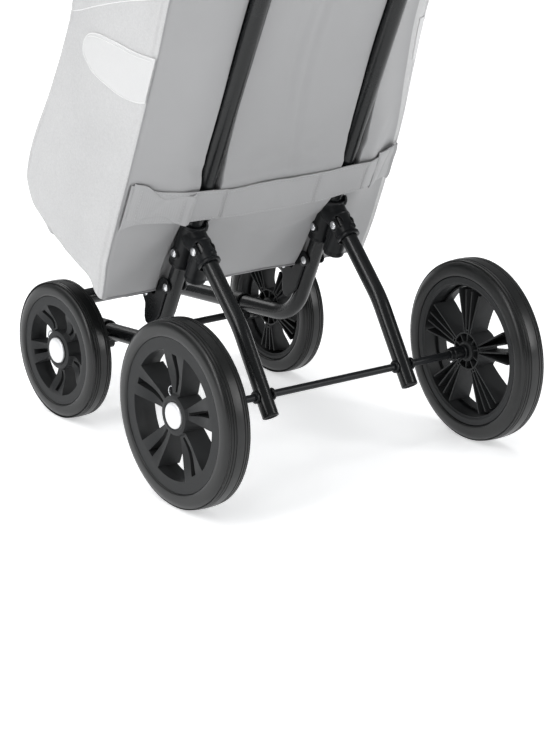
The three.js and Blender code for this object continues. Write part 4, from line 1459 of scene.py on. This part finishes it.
def make_lid(pale, grey, thread):
    """The lid: an upright rim, a rounded edge and a low crown, with piping and a stitched hem."""
    middle = (LID_REAR + LID_FRONT) / 2
    shoulder, radius = LID_TOP - 6, 7.0
    rows = [(0.6, LID_FOOT), (0.0, LID_FOOT + 1.5), (0.0, LID_FOOT + 12), (0.3, LID_FOOT + 24),
            (0.2, LID_TOP - 12), (0.6, shoulder)]
    rows += [(0.6 + radius * (1 - math.cos(a)), shoulder + radius * math.sin(a))
             for a in (0.4, 0.8, 1.2, math.pi / 2)]
    points, cloth = [], []
    for inset, u in rows:
        for x, n in lid_ring(inset):
            sway = soft_noise(x, u, n, 38.0) * (1 - smoothstep(LID_TOP - 14, shoulder, u))
            out = Vector((x, n - middle)).normalized() * sway
            points.append(lean(x + out.x * 0.6, max(n + out.y * 0.6, LID_REAR), u))
            cloth.append((x + n, u, 0))
    edge, level = lid_ring(rows[-1][0]), rows[-1][1]
    for share in (0.94, 0.86, 0.72, 0.55, 0.36, 0.16, 0.0):
        for x, n in edge:
            px, pn = x * share, middle + (n - middle) * share
            rise = LID_CROWN * (1 - share ** 2.2) + 1.3 * soft_noise(px, pn, 70.0, 40.0) * (1 - share ** 6)
            points.append(lean(px, pn, level + rise))
            cloth.append((px, pn, 0))
    lid = new_object("soft_lid", points, ring_faces(len(edge), len(points) // len(edge)))
    set_cloth(lid, cloth)
    clean(lid, 70)
    thicken(lid, 2.4, -1)
    finish_piece(lid, "lid", pale, "lid_fabric", "lid")
    for name, inset, u in (("lid_top_piping", 1.0, LID_TOP - 1.6), ("lid_hem_piping", -0.3, LID_FOOT + 1.0)):
        line = [lean(x, n, u) for x, n in lid_ring(inset)]
        make_cord_trim(name, line + line[:1], 1.7, grey, "lid_fabric", "lid")
    line = [lean(x, n, LID_FOOT + 7) for x, n in lid_ring(-0.5)]
    stitch_row("lid_hem_stitches", line, thread, "lid_fabric", "lid", pitch=4.2, length=2.8, radius=0.38)


# ------------------------------------------------------------ making
make_camera()
make_studio()
PAINT = hard_material("satin_black_paint", (0.004, 0.0045, 0.005), (0.006, 0.007, 0.0075), (0.24, 0.28),
                      1.6, 0.004, wear=0.04, specular=0.38)
STEEL = hard_material("black_axle_steel", (0.008, 0.009, 0.010), (0.014, 0.015, 0.017), (0.28, 0.36),
                      1.2, 0.03, wear=0.10, specular=0.2)
PLASTIC = hard_material("black_moulded_plastic", (0.005, 0.0055, 0.006), (0.008, 0.009, 0.010), (0.26, 0.38),
                        0.9, 0.035, wear=0.06, specular=0.22)
WHEEL_PLASTIC = hard_material("charcoal_wheel_plastic", (0.020, 0.021, 0.0215), (0.027, 0.028, 0.029),
                              (0.42, 0.54), 0.8, 0.05, wear=0.05, specular=0.2)
RUBBER = hard_material("tyre_rubber", (0.007, 0.0075, 0.0075), (0.011, 0.0115, 0.0115), (0.28, 0.38),
                       0.7, 0.04, wear=0.05, specular=0.42)
ZINC = hard_material("bright_rivet_steel", (0.62, 0.63, 0.65), (0.78, 0.79, 0.80), (0.20, 0.34),
                     0.9, 0.02, metallic=1.0)
SILVER = hard_material("silver_cap_paint", (0.80, 0.81, 0.82), (0.90, 0.905, 0.91), (0.26, 0.38),
                       0.6, 0.015, metallic=0.35)
WIRE = hard_material("spring_wire_steel", (0.55, 0.56, 0.58), (0.70, 0.71, 0.72), (0.20, 0.32),
                     0.5, 0.01, metallic=1.0)
FOAM = hard_material("black_grip_foam", (0.012, 0.012, 0.012), (0.022, 0.022, 0.022), (0.75, 0.9),
                     1.3, 0.25, specular=0.25)
BOARD = hard_material("black_board_plastic", (0.010, 0.010, 0.011), (0.016, 0.016, 0.018), (0.45, 0.6),
                      1.0, 0.12, wear=0.05, specular=0.3)
make_tubes(PAINT)
make_axles(STEEL)
make_rivets(ZINC)
make_grip(FOAM)
make_side_brackets(PLASTIC)
make_channel_brackets(PLASTIC)
make_saddles(PLASTIC)
make_collars(PLASTIC)
make_leg_plugs(PLASTIC)
make_wheels(RUBBER, WHEEL_PLASTIC, SILVER, WIRE)
NYLON = cloth_material("grey_nylon", (0.33, 0.33, 0.333), (0.37, 0.37, 0.375), 1.3, 0.05, 0.62, twill=0.9)
HEATHER = cloth_material("pale_woven_polyester", (0.47, 0.47, 0.473), (0.60, 0.60, 0.60), 1.7, 0.10, 0.8,
                         fleck=0.35)
PAD = cloth_material("pale_pad_fabric", (0.60, 0.60, 0.60), (0.68, 0.68, 0.68), 1.1, 0.06, 0.7, fleck=0.15)
WEBBING = cloth_material("grey_webbing", (0.345, 0.345, 0.348), (0.385, 0.385, 0.39), 2.2, 0.05, 0.6,
                         ribbed=True)
PIPING = cloth_material("pale_piping_tape", (0.68, 0.68, 0.68), (0.80, 0.80, 0.80), 1.2, 0.08, 0.7)
BINDING = cloth_material("grey_binding_tape", (0.26, 0.26, 0.265), (0.33, 0.33, 0.335), 1.2, 0.08, 0.7)
THREAD = cloth_material("grey_thread", (0.38, 0.38, 0.385), (0.50, 0.50, 0.505), 0.6, 0.05, 0.55,
                        ribbed=True)
make_bag(NYLON, HEATHER)
make_piping(PIPING, BINDING)
make_patch(PAD, PIPING)
make_bands(WEBBING, THREAD)
make_lid(HEATHER, BINDING, THREAD)
finish_board(BOARD)
